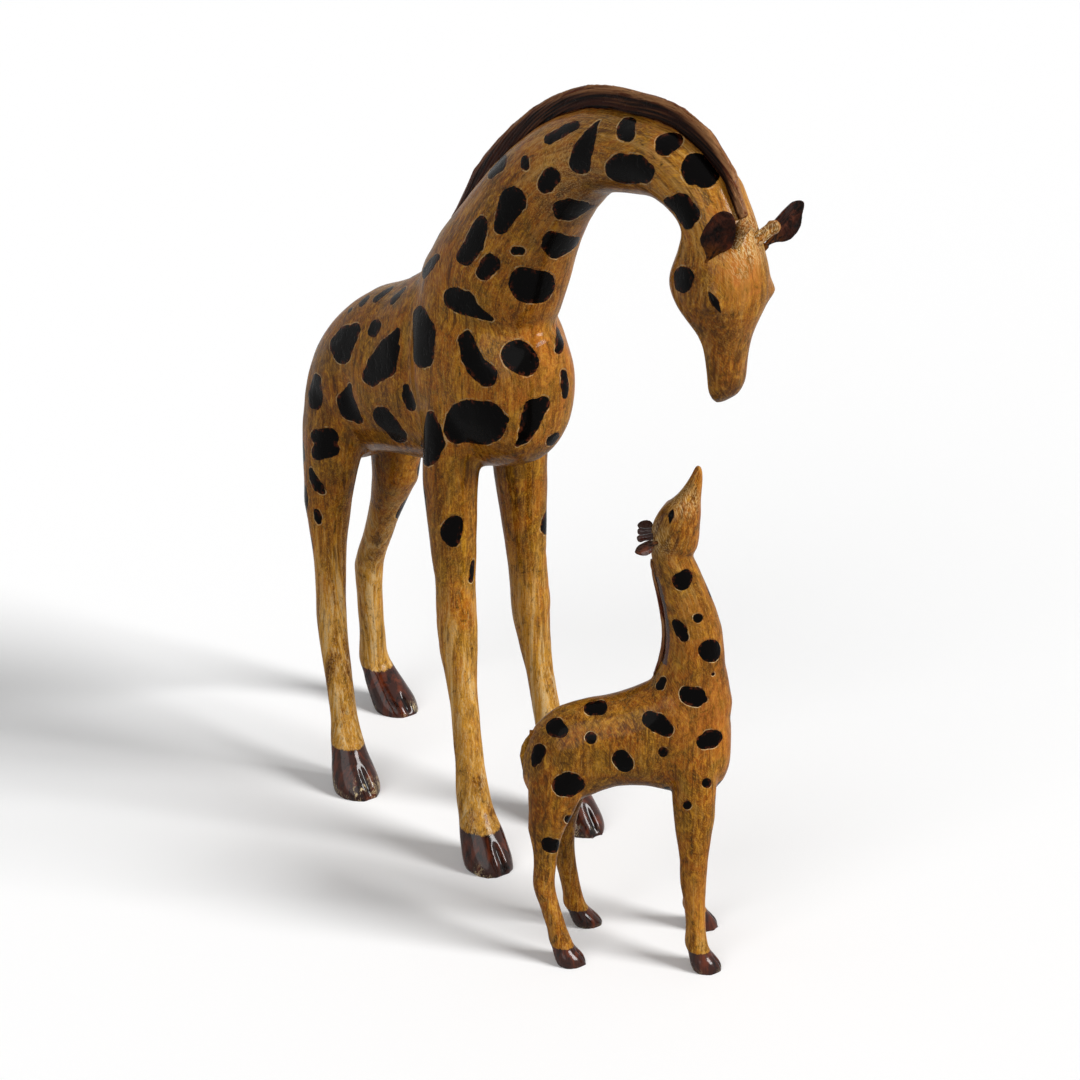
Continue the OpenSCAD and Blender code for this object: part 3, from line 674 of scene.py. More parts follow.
def tip_slant(points, name):
    """Shift that trims the front of the mother's muzzle, and slims the calf's towards its tip."""
    shift = np.zeros_like(points)
    if name == "mother":
        head_from, middle, tip = 150.0, 193.0, 414.0
        near = smoothstep(34.0, 4.0, points[:, 2] - tip) * (points[:, 0] > head_from)
        shift[:, 2] = np.maximum(near * 0.42 * (points[:, 0] - middle), 0.0)
    else:
        slim_from, tip, brow = 334.0, 368.0, 38.0
        near = smoothstep(slim_from, tip, points[:, 2])
        shift[:, 0] = near * 0.34 * np.maximum(brow - points[:, 0], 0.0)
        shift[:, 1] = near * -0.15 * points[:, 1]
    return shift


def mane_skirt(points, name):
    """Distance outside the dark border painted beside the calf's mane, in mm."""
    figure = FIGURES[name]
    width = figure["skirt"]
    if not width:
        return np.full(len(points), FAR)
    run, above = along_neck(points, name)
    on_neck = (beyond(points, figure["foot_cut"]) > 0) & (beyond(points, figure["head_cut"]) < 0)
    stations, heights = crest_profile(run[on_neck], above[on_neck], 5.0)
    gap = np.interp(run, stations, heights) - above - width
    return np.where(on_neck, gap, FAR)


def carve_skin(name):
    """The blended skin of one figure with every measure that its paint reads."""
    figure, carving = FIGURES[name], bpy.context.scene.giraffe_carving
    parts = [solid(f"{name}_{block}") for block in SKIN_BLOCKS + DOWELS]
    for side in SIDES:
        parts += [plug(f"{name}_ear_{side}", f"{name}_head"), plug(f"{name}_horn_{side}", f"{name}_head")]
    parts.append(plug(f"{name}_tail", f"{name}_torso"))
    points, faces = carved_form(parts, carving.voxel * figure["scale"], carving.easing, 1)
    points = set_soles(to_figure(points, name), name)
    normals = normals_of(points, faces)
    above, cleft = hoof_measures(points, name)
    points = points - normals * (cleft * carving.cleft_depth / MM * figure["scale"])[:, None]
    points = points + normals * hollows_of(points, name)[:, None]
    points = points + tip_slant(points, name)
    lump = rough(points, 0.045 / figure["scale"]) * carving.hand_marks / MM * figure["scale"]
    points = in_box(points + normals * (lump * smoothstep(0.0, 8.0, points[:, 2]))[:, None], name)
    normals = normals_of(points, faces)
    above = np.minimum(above, mane_skirt(points, name))
    camera = to_figure(np.array(CAMERA_PLACE), name)
    patina, pale, blush, chalk = tints_of(points, normals, name)
    return {
        "points": points, "faces": faces, "normal": normals, "grain": grain_of(points, name),
        "spot": painted_spots(points, faces, normals, name, camera) / figure["scale"],
        "hoof": above / figure["scale"], "cleft": cleft, "patina": patina, "pale": pale, "blush": blush,
        "chalk": chalk,
    }


VECTOR_MEASURES = ("normal", "grain")
PLAIN_MEASURES = ("spot", "hoof", "cleft", "patina", "pale", "blush", "chalk")
PLAIN_REST = {"spot": FAR, "hoof": FAR}


def measured_mesh(label, name, skin):
    """A mesh in the row frame that carries its measures as named attributes."""
    mesh = bpy.data.meshes.new(label)
    mesh.from_pydata(to_row(skin["points"], name).tolist(), [], skin["faces"].tolist())
    skin = dict(skin, normal=turned(skin["normal"], FIGURES[name]["turn"]))
    count = len(skin["points"])
    for measure in VECTOR_MEASURES:
        layer = mesh.attributes.new(measure, "FLOAT_VECTOR", "POINT")
        layer.data.foreach_set("vector", np.asarray(skin[measure], float).ravel())
    for measure in PLAIN_MEASURES:
        layer = mesh.attributes.new(measure, "FLOAT", "POINT")
        values = skin.get(measure, np.full(count, PLAIN_REST.get(measure, 0.0)))
        layer.data.foreach_set("value", np.asarray(values, float))
    return mesh


def show_piece(label, mesh, material, nodes, slot):
    """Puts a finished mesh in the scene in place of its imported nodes."""
    obj = bpy.data.objects.new(label, mesh)
    bpy.context.scene.collection.objects.link(obj)
    mesh.materials.append(material)
    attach(obj, ROOT)
    if nodes:
        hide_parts(*nodes)
    return obj


def blocks_of(centres, name):
    """Which carved block each point of the skin belongs to, as places in SKIN_BLOCKS."""
    figure = FIGURES[name]
    x, y, z = centres.T
    left = y > 0
    block = np.zeros(len(centres), int)
    front = (x > figure["front_from"]) & (z < figure["front_joint"])
    rear = (x < figure["rear_to"]) & (z < figure["rear_joint"])
    for number, inside in enumerate((front & left, front & ~left, rear & left, rear & ~left)):
        block[inside] = SKIN_BLOCKS.index("leg_front_left") + number
    block[beyond(centres, figure["foot_cut"]) > 0] = SKIN_BLOCKS.index("neck")
    block[ahead_of_head_cut(centres, figure) > 0] = SKIN_BLOCKS.index("head")
    return block


def ahead_of_head_cut(points, figure):
    """How far points near the head lie past its joint, and far behind it elsewhere."""
    near = (points[:, 0] > figure["head_from"][0]) & (points[:, 2] > figure["head_from"][1])
    return np.where(near, beyond(points, figure["head_cut"]), -1e6)


def cut_at_joints(name, skin):
    """The painted skin with clean edges round every glued joint."""
    figure = FIGURES[name]
    mesh = measured_mesh(f"{name}_skin", name, skin)
    bm = bmesh.new()
    bm.from_mesh(mesh)
    bm.faces.ensure_lookup_table()
    centres = skin["points"][skin["faces"]].mean(axis=1)
    from_front = np.where(centres[:, 0] > figure["front_from"], centres[:, 2] - figure["front_joint"], 1e6)
    from_rear = np.where(centres[:, 0] < figure["rear_to"], centres[:, 2] - figure["rear_joint"], 1e6)
    planes = [((0, 0, figure["front_joint"]), (0, 0, 1), from_front),
              ((0, 0, figure["rear_joint"]), (0, 0, 1), from_rear)]
    for (x, z, pitch), gap in ((figure["foot_cut"], beyond(centres, figure["foot_cut"])),
                               (figure["head_cut"], ahead_of_head_cut(centres, figure))):
        planes.append(((x, 0, z), (math.cos(math.radians(pitch)), 0, math.sin(math.radians(pitch))), gap))
    cuts = [(point, facing, [bm.faces[i] for i in np.where(np.abs(gap) < JOINT_BAND)[0]])
            for point, facing, gap in planes]
    for point, facing, chosen in cuts:
        geom = [*{v for f in chosen for v in f.verts}, *{e for f in chosen for e in f.edges}, *chosen]
        bmesh.ops.bisect_plane(bm, geom=geom, dist=1e-7, plane_co=to_row(np.array((point,)), name)[0],
                               plane_no=turned(np.array((facing,), float), figure["turn"])[0])
    bm.to_mesh(mesh)
    bm.free()
    return mesh


def block_mesh(label, source, members):
    """A closed mesh of some polygons of a painted skin, shaded as the whole skin is."""
    points, corners = mesh_arrays(source)
    starts, totals = polygon_spans(source)
    rings = [corners[s:s + t] for s, t in zip(starts[members], totals[members])]
    used = np.unique(np.concatenate(rings))
    order = np.full(len(points), -1)
    order[used] = np.arange(len(used))
    mesh = bpy.data.meshes.new(label)
    mesh.from_pydata(points[used].tolist(), [], [order[ring].tolist() for ring in rings])
    for measure in VECTOR_MEASURES + PLAIN_MEASURES:
        layer, vector = source.attributes[measure], measure in VECTOR_MEASURES
        values = np.empty(len(points) * (3 if vector else 1))
        layer.data.foreach_get("vector" if vector else "value", values)
        values = values.reshape(len(points), -1)[used]
        made = mesh.attributes.new(measure, layer.data_type, "POINT")
        made.data.foreach_set("vector" if vector else "value", values.ravel())
    bm = bmesh.new()
    bm.from_mesh(mesh)
    capped = len(bm.faces)
    bmesh.ops.holes_fill(bm, edges=[e for e in bm.edges if e.is_boundary], sides=0)
    bm.faces.ensure_lookup_table()
    bmesh.ops.triangulate(bm, faces=bm.faces[capped:])
    bm.to_mesh(mesh)
    bm.free()
    steady_normals(mesh, capped)
    return mesh


def steady_normals(mesh, capped):
    """Keeps the shading of the whole skin on a cut piece, so that a glued joint doesn't show."""
    kept = np.empty(len(mesh.vertices) * 3)
    mesh.attributes["normal"].data.foreach_get("vector", kept)
    kept = kept.reshape(-1, 3)
    kept /= np.maximum(np.linalg.norm(kept, axis=1, keepdims=True), 1e-9)
    _, corners = mesh_arrays(mesh)
    directions = kept[corners]
    for number in range(capped, len(mesh.polygons)):
        polygon = mesh.polygons[number]
        directions[list(polygon.loop_indices)] = polygon.normal
    mesh.polygons.foreach_set("use_smooth", [True] * len(mesh.polygons))
    mesh.attributes.remove(mesh.attributes["normal"])
    mesh.normals_split_custom_set(directions.tolist())


def cut_skin(name, skin):
    """Gives each closed block of a painted skin, cut at its glued joints."""
    source = cut_at_joints(name, skin)
    points, corners = mesh_arrays(source)
    starts, totals = polygon_spans(source)
    centres = np.add.reduceat(points[corners], starts, axis=0) / totals[:, None]
    blocks = blocks_of(to_figure(centres, name), name)
    for number, block in enumerate(SKIN_BLOCKS):
        yield block, block_mesh(f"{name}_{block}_painted", source, np.where(blocks == number)[0])
    bpy.data.meshes.remove(source)


def principal_frame(points):
    """Centre and axes of a form, longest first, in columns."""
    centre = points.mean(axis=0)
    _, _, axes = np.linalg.svd(points - centre, full_matrices=False)
    if np.linalg.det(axes) < 0:
        axes[2] = -axes[2]
    return centre, axes.T


def small_form(piece, name, voxel, rounds, levels=0):
    """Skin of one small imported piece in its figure's frame, in mm."""
    points, faces = carved_form([solid(piece)], voxel, rounds, levels)
    return to_figure(points, name), faces


def smooth_mesh(label, name, skin):
    mesh = measured_mesh(label, name, skin)
    mesh.attributes.remove(mesh.attributes["normal"])
    mesh.polygons.foreach_set("use_smooth", [True] * len(mesh.polygons))
    return mesh


def hair_mane(name):
    """The rounded mane strip with an even crest, long combed cuts and a top edge painted lighter, for wear
    and as a painted highlight.
    """
    size, carving = FIGURES[name]["scale"], bpy.context.scene.giraffe_carving
    points, faces = small_form(f"{name}_mane", name, MANE_VOXEL * size ** 2, 40, 1)
    normals = normals_of(points, faces)
    run, above = along_neck(points, name)
    stations, heights = crest_profile(run, above, 4.0 * size)
    window = np.hanning(13) / np.hanning(13).sum()
    even = np.convolve(np.pad(heights, 6, mode="edge"), window, mode="valid")
    from_crest = above - np.interp(run, stations, heights)
    upper = smoothstep(0.2, 0.7, 1.0 - np.abs(normals[:, 1])) * smoothstep(-0.4, 0.0, from_crest + 4)
    points = points + normals * (upper * np.interp(run, stations, even - heights))[:, None]
    normals = normals_of(points, faces)
    grain = grain_of(points, name)
    side = smoothstep(0.15, 0.7, np.abs(normals[:, 1]))
    sway = rough(grain * np.array((1, 1, 0.3)), 0.05 / size, 2)
    strands = rough(grain * np.array((1, 1, 0.08)), 0.5 / size, 3)
    comb = 0.6 * np.sin(above * 2.4 / size + sway * 5.0) * side + strands
    points = in_box(points + normals * ((comb * carving.strand_depth / MM - 0.1) * size)[:, None], name)
    crest = np.interp(run, stations, even)
    # Upward faces near the crest, most towards the head, are painted lighter: wear, and a painted highlight.
    top = np.maximum(smoothstep(0.10, 0.45, 1.0 - np.abs(normals[:, 1])),
                     smoothstep(-5.5 * size, -2.5 * size, above - crest))
    rubbed_and_lit = 0.4 + 0.6 * smoothstep(0.35, 0.6, run / run.max())
    return {"points": points, "faces": faces, "normal": normals, "grain": grain,
            "pale": np.clip(top + 0.2 * comb, 0.0, 1.0), "chalk": rubbed_and_lit}


def rounded_tip(along, across):
    """How much the edge of an ear is let out so that its tip ends in a round, not a point."""
    steps = np.linspace(-1.0, 1.0, 25)
    reach = [np.abs(across[np.abs(along - at) < 0.06]).max(initial=0.12) for at in steps]
    width = np.interp(along, steps, reach)
    oval = np.sqrt(np.clip(1.0 - ((along - 0.1) / 0.9) ** 2, 0.0, 1.0))
    return (np.clip(oval / width, 1.0, EAR_FULL) - 1.0) * smoothstep(0.0, 0.4, along)


def lengthwise(local):
    """Grain that runs along a form's longest axis."""
    return np.stack((local[:, 1], local[:, 2], local[:, 0]), axis=1)


def leaf_ear(name, side):
    """A cupped leaf ear with a raised rim and a rib down its back."""
    size = FIGURES[name]["scale"]
    points, faces = small_form(f"{name}_ear_{side}", name, FINE_VOXEL * size, 6)
    normals = normals_of(points, faces)
    centre, axes = principal_frame(points)
    local = (points - centre) @ axes
    half = np.abs(local).max(axis=0)
    across = local[:, 1] / half[1]
    tipward = np.sign(ear_tip(points, axes, name))
    along = local[:, 0] / half[0] * tipward
    blade = smoothstep(-0.35, 0.1, along)
    front = np.sign(axes[:, 2] @ np.array((1.0, 0.0, 0.2)) or 1.0)
    dip = blade * (0.9 - 2.0 * across ** 2) * smoothstep(1.0, 0.5, np.abs(along))
    points = points - axes[:, 2] * (front * dip * 2.6 * size)[:, None]
    slim = 0.35 * (1.0 - blade)
    worn = FIGURES[name]["ear_wear"]
    full = worn * rounded_tip(along, across) - slim
    points = points + axes[:, 1] * (full * local[:, 1])[:, None] - axes[:, 2] * (slim * local[:, 2])[:, None]
    blunt = worn * EAR_BLUNT * np.clip(along - EAR_ROUND_FROM, 0.0, 1.0) * half[0] * tipward
    points = points - axes[:, 0] * blunt[:, None]
    facing = (normals @ axes[:, 2]) * front
    inner = smoothstep(0.2, 0.7, facing) * blade
    return {"points": in_box(points, name), "faces": faces, "normal": normals, "grain": lengthwise(local),
            "blush": inner, "pale": np.exp(-(across / 0.35) ** 2) * inner, "patina": 1.0 - blade}


def ear_tip(points, axes, name):
    """Which end of an ear's long axis is the free tip: the end further from the neck line."""
    line, _ = neck_line(name)
    x, z = line[BETWEEN_EARS]
    middle = np.array((x, 0.0, z))
    run = (points - points.mean(axis=0)) @ axes[:, 0]
    return np.linalg.norm(points[run.argmax()] - middle) - np.linalg.norm(points[run.argmin()] - middle)


def knob_horn(name, side):
    """A stubby horn with a worn knob."""
    size = FIGURES[name]["scale"]
    points, faces = small_form(f"{name}_horn_{side}", name, FINE_VOXEL * size, 6)
    normals = normals_of(points, faces)
    points = points + normals * (rough(points, 0.3 / size, 5) * 0.35 * size)[:, None]
    centre, axes = principal_frame(points)
    local = (points - centre) @ axes
    out = local[:, 0] * np.sign(ear_tip(points, axes, name))
    top = smoothstep(0.3, 0.85, out / np.abs(out).max())
    brown = 1.0 if name == "calf" else 0.0
    return {"points": in_box(points, name), "faces": faces, "normal": normals, "grain": lengthwise(local),
            "patina": np.maximum(brown, 0.35 * top), "chalk": (1.0 - brown) * (0.75 - 0.4 * top),
            "blush": 0.4 * top, "hoof": np.full(len(points), 1.5 - 4.0 * brown)}


def tufted_tail(name):
    """The tail cord with combed hair at its tuft."""
    size = FIGURES[name]["scale"]
    points, faces = small_form(f"{name}_tail", name, TAIL_VOXEL * size, 8)
    normals = normals_of(points, faces)
    drop = (points[:, 2] - points[:, 2].min()) / np.ptp(points[:, 2])
    tuft = smoothstep(0.3, 0.12, drop)
    turn = np.arctan2(normals[:, 1], normals[:, 0])
    comb = np.sin(turn * 7 + rough(points, 0.08 / size, 6) * 2.5) * tuft
    points = in_box(points + normals * (comb * 0.3 * size)[:, None], name)
    dark = tuft if name == "mother" else np.zeros(len(points))
    # The grooves of the tuft are kept as cleft, where a dark tuft is painted black as painted shade.
    return {"points": points, "faces": faces, "normal": normals, "grain": points,
            "hoof": np.where(dark > 0.5, -6.0, FAR), "blush": tuft if name == "calf" else 0.0 * tuft,
            "patina": np.full(len(points), 0.25), "cleft": np.clip(-comb, 0.0, 1.0)}


def almond_eye(name, side):
    """A domed almond eye laid on the skin, with lids round it, closed under the skin."""
    figure, skin = FIGURES[name], SKINS[name]
    axis, half_length, half_width = figure["eye_form"]
    flip = 1.0 if side == "right" else -1.0
    tree = BVHTree.FromPolygons(skin["points"].tolist(), skin["faces"].tolist())
    seat, facing, _, _ = tree.find_nearest(Vector(figure["eyes"][side]))
    long_way = Vector((axis[0], axis[1] * flip, axis[2]))
    long_way = (long_way - facing * long_way.dot(facing)).normalized()
    wide_way = facing.cross(long_way)
    along, across = 30, 16
    layers = ([], [])
    lid = []
    for i in range(along + 1):
        u = 2 * i / along - 1
        spread = half_width * max(0.05, (1 - abs(u) ** 1.8) ** 0.9) * (0.8 if u > 0.2 else 1.0)
        for j in range(across + 1):
            v = 2 * j / across - 1
            edge = min(1 - abs(v), (1 - abs(u)) * 1.6)
            ball = max(0.0, 1 - v * v) * max(0.0, 1 - (u * 1.15) ** 2)
            ridge = math.exp(-((edge - 0.16) / 0.11) ** 2)
            aim = seat + long_way * (half_length * u * (1.2 if u > 0 else 1.0)) + wide_way * (spread * v)
            hit, _, _, _ = tree.ray_cast(aim + facing * 12, -facing)
            base = hit if hit else aim
            lift = half_width * (0.34 * ball + 0.16 * ridge) - 0.1 * half_width * (1 - min(1.0, edge * 8))
            layers[0].append(base + facing * lift)
            layers[1].append(base - facing * 0.35 * half_width)
            lid.append(1.0 - smoothstep(0.12, 0.34, np.array(edge)))
    points = np.array([tuple(p) for layer in layers for p in layer])
    row, under = across + 1, (along + 1) * (across + 1)
    faces = []
    for i in range(along):
        for j in range(across):
            a, b, c, d = i * row + j, (i + 1) * row + j, (i + 1) * row + j + 1, i * row + j + 1
            faces += [(a, b, c, d), (under + d, under + c, under + b, under + a)]
    border = [i * row for i in range(along + 1)] + [along * row + j for j in range(1, row)]
    border += [i * row + across for i in range(along - 1, -1, -1)] + [j for j in range(across - 1, 0, -1)]
    for a, b in zip(border, border[1:] + border[:1]):
        faces.append((b, a, under + a, under + b))
    faces = np.array(faces)
    normals = normals_of(points, faces)
    if (normals[: under] @ np.array(facing)).mean() < 0:
        faces = faces[:, ::-1]
        normals = -normals
    return {"points": points, "faces": faces, "normal": normals, "grain": points,
            "chalk": np.array(lid + [1.0] * under)}


def node(tree, kind, sockets=None, **settings):
    """Adds a node, sets it, and links or fills its sockets."""
    made = tree.nodes.new(kind)
    for key, value in settings.items():
        setattr(made, key, value)
    return filled(tree, made, sockets or {})


def filled(tree, made, sockets):
    """Links or fills the sockets of a node."""
    for key, value in sockets.items():
        if isinstance(value, bpy.types.NodeSocket):
            tree.links.new(value, made.inputs[key])
        else:
            made.inputs[key].default_value = value
    return made


def math_of(tree, operation, *values, clamp=False):
    made = node(tree, "ShaderNodeMath", dict(enumerate(values)), operation=operation, use_clamp=clamp)
    return made.outputs[0]


def ramp(tree, value, low, high, to_low=0.0, to_high=1.0):
    """Smooth step of a value from one range to another."""
    sockets = {"Value": value, "From Min": low, "From Max": high, "To Min": to_low, "To Max": to_high}
    return node(tree, "ShaderNodeMapRange", sockets, interpolation_type="SMOOTHSTEP").outputs["Result"]


def tint(tree, share, under, over, mode="MIX"):
    made = node(tree, "ShaderNodeMix", {0: share, 6: under, 7: over}, data_type="RGBA", blend_type=mode)
    return made.outputs[2]


def stretched(tree, vector, scale):
    return node(tree, "ShaderNodeVectorMath", {0: vector, 1: scale}, operation="MULTIPLY").outputs[0]


def grain_noise(tree, vector, scale, detail=3.0, roughness=0.55, distortion=0.0):
    sockets = {"Vector": stretched(tree, vector, scale), "Scale": 1.0, "Detail": detail,
               "Roughness": roughness, "Distortion": distortion}
    return node(tree, "ShaderNodeTexNoise", sockets).outputs["Fac"]


def measure(tree, name, kind="Fac"):
    return node(tree, "ShaderNodeAttribute", attribute_name=name).outputs[kind]


def effect(name, inputs, outputs):
    """A shader node group with its sockets, its input node and its output node."""
    group = bpy.data.node_groups.new(name, "ShaderNodeTree")
    for label, kind in inputs:
        group.interface.new_socket(label, in_out="INPUT", socket_type=kind)
    for label, kind in outputs:
        group.interface.new_socket(label, in_out="OUTPUT", socket_type=kind)
    return group, node(group, "NodeGroupInput").outputs, node(group, "NodeGroupOutput").inputs


def place(tree, name, sockets):
    """Places a shared effect with its own values."""
    made = tree.nodes.new("ShaderNodeGroup")
    made.node_tree = bpy.data.node_groups[name]
    return filled(tree, made, sockets).outputs


VALUE, VECTOR = "NodeSocketFloat", "NodeSocketVector"


# Brush strokes: whether they cross the grain, waves per mm, detail, roughness and distortion.
STROKES = {
    "Sweep": (False, (0.11, 0.11, 0.007), 4.0, 0.6, 0.6),
    "Streak": (False, (0.30, 0.30, 0.022), 5.0, 0.65, 0.5),
    "Hair": (False, (1.15, 1.15, 0.085), 3.0, 0.65, 0.4),
    "Hatch": (True, (1.3, 1.3, 0.12), 2.0, 0.6, 0.6),
    "Blotch": (False, (0.17, 0.17, 0.085), 7.0, 0.70, 1.2),
    "Drift": (True, (0.030, 0.030, 0.030), 3.0, 0.6, 1.0),
    "Patina": (False, (0.034, 0.034, 0.02), 4.0, 0.6, 0.6),
}
HATCH_TURN = (0.55, 0.6, 0.0)


def brush_strokes():
    """Dry brush strokes that follow the grain: broad streaks, hair lines, cross hatching and slow patina."""
    tree, given, out = effect("Brush Strokes", [("Grain", VECTOR)],
                              [(label, VALUE) for label in (*STROKES, "Height")])
    grain = given["Grain"]
    across = node(tree, "ShaderNodeMapping", {"Vector": grain, "Rotation": HATCH_TURN}).outputs[0]
    laid = {label: grain_noise(tree, across if crossed else grain, *waves)
            for label, (crossed, *waves) in STROKES.items()}
    for label, value in laid.items():
        tree.links.new(value, out[label])
    fine = grain_noise(tree, grain, (3.0, 3.0, 0.35), 2.0)
    height = math_of(tree, "MULTIPLY_ADD", laid["Hair"], 0.7, math_of(tree, "MULTIPLY", fine, 0.25))
    height = math_of(tree, "MULTIPLY_ADD", laid["Hatch"], 0.4, height)
    tree.links.new(math_of(tree, "MULTIPLY_ADD", laid["Streak"], 0.5, height), out["Height"])


def painted_spot():
    """A spot brushed inside an incised line: its paint, worn edge, pale rim and groove."""
    tree, given, out = effect("Painted Spot", [("Distance", VALUE), ("Grain", VECTOR)],
                              [("Paint", VALUE), ("Worn", VALUE), ("Rim", VALUE), ("Groove", VALUE)])
    grain = given["Grain"]
    wide = math_of(tree, "MULTIPLY_ADD", grain_noise(tree, grain, (0.13, 0.13, 0.13), 2.0), 3.0, -1.5)
    fine = math_of(tree, "MULTIPLY_ADD", grain_noise(tree, grain, (0.7, 0.7, 0.5), 2.0), 0.6, -0.3)
    edge = math_of(tree, "ADD", given["Distance"], math_of(tree, "ADD", wide, fine))
    paint = ramp(tree, edge, 0.35, -0.35)
    links = tree.links
    links.new(paint, out["Paint"])
    rub = ramp(tree, grain_noise(tree, grain, (0.25, 0.25, 0.2), 4.0, 0.65), 0.5, 0.68)
    links.new(math_of(tree, "MULTIPLY", rub, ramp(tree, edge, -4.0, -0.4)), out["Worn"])
    patchy = ramp(tree, grain_noise(tree, grain, (0.09, 0.09, 0.09), 3.0), 0.48, 0.62)
    band = math_of(tree, "MULTIPLY", ramp(tree, edge, 0.25, 0.5), ramp(tree, edge, 1.25, 0.85))
    links.new(math_of(tree, "MULTIPLY", band, patchy), out["Rim"])
    line = math_of(tree, "MULTIPLY", ramp(tree, edge, -0.5, 0.3), ramp(tree, edge, 1.1, 0.4))
    links.new(line, out["Groove"])


def lacquer():
    """Old varnish: slow changes of gloss and small knocks."""
    tree, given, out = effect("Old Lacquer", [("Grain", VECTOR), ("Gloss", VALUE)],
                              [("Roughness", VALUE), ("Height", VALUE)])
    slow = grain_noise(tree, given["Grain"], (0.06, 0.06, 0.04), 4.0, 0.6)
    fine = grain_noise(tree, given["Grain"], (0.9, 0.9, 0.3), 3.0)
    knocks = grain_noise(tree, given["Grain"], (0.22, 0.22, 0.16), 2.0)
    rise = math_of(tree, "MULTIPLY_ADD", slow, 0.30, math_of(tree, "MULTIPLY_ADD", fine, 0.18, -0.24))
    tree.links.new(math_of(tree, "ADD", given["Gloss"], rise, clamp=True), out["Roughness"])
    tree.links.new(ramp(tree, knocks, 0.34, 0.46), out["Height"])


def colour(value):
    return (*value, 1.0)


def new_material(name):
    material = bpy.data.materials.new(name)
    material.use_nodes = True
    tree = material.node_tree
    tree.nodes.clear()
    shader = node(tree, "ShaderNodeBsdfPrincipled", {"IOR": 1.5, "Specular IOR Level": 0.015,
                                                     "Coat Weight": 0.06, "Coat Roughness": 0.13})
    node(tree, "ShaderNodeOutputMaterial", {"Surface": shader.outputs[0]})
    return material, tree, shader


def brushed(name, figure):
    """A new material with the grain at a figure's own brush scale and the strokes along it."""
    material, tree, shader = new_material(name)
    brush = figure["brush"]
    grain = stretched(tree, measure(tree, "grain", "Vector"), (brush, brush, brush))
    return material, tree, shader, grain, place(tree, "Brush Strokes", {"Grain": grain})


def varnished(tree, shader, grain, gloss):
    """Lays old lacquer over a paint and gives the height of its knocks."""
    varnish = place(tree, "Old Lacquer", {"Grain": grain, "Gloss": gloss})
    tree.links.new(varnish["Roughness"], shader.inputs["Roughness"])
    return varnish["Height"]


def raised(tree, shader, height, strength, depth):
    """Raises a paint by a height, to a depth in metres."""
    bump = node(tree, "ShaderNodeBump", {"Height": height, "Strength": strength, "Distance": depth})
    tree.links.new(bump.outputs[0], shader.inputs["Normal"])


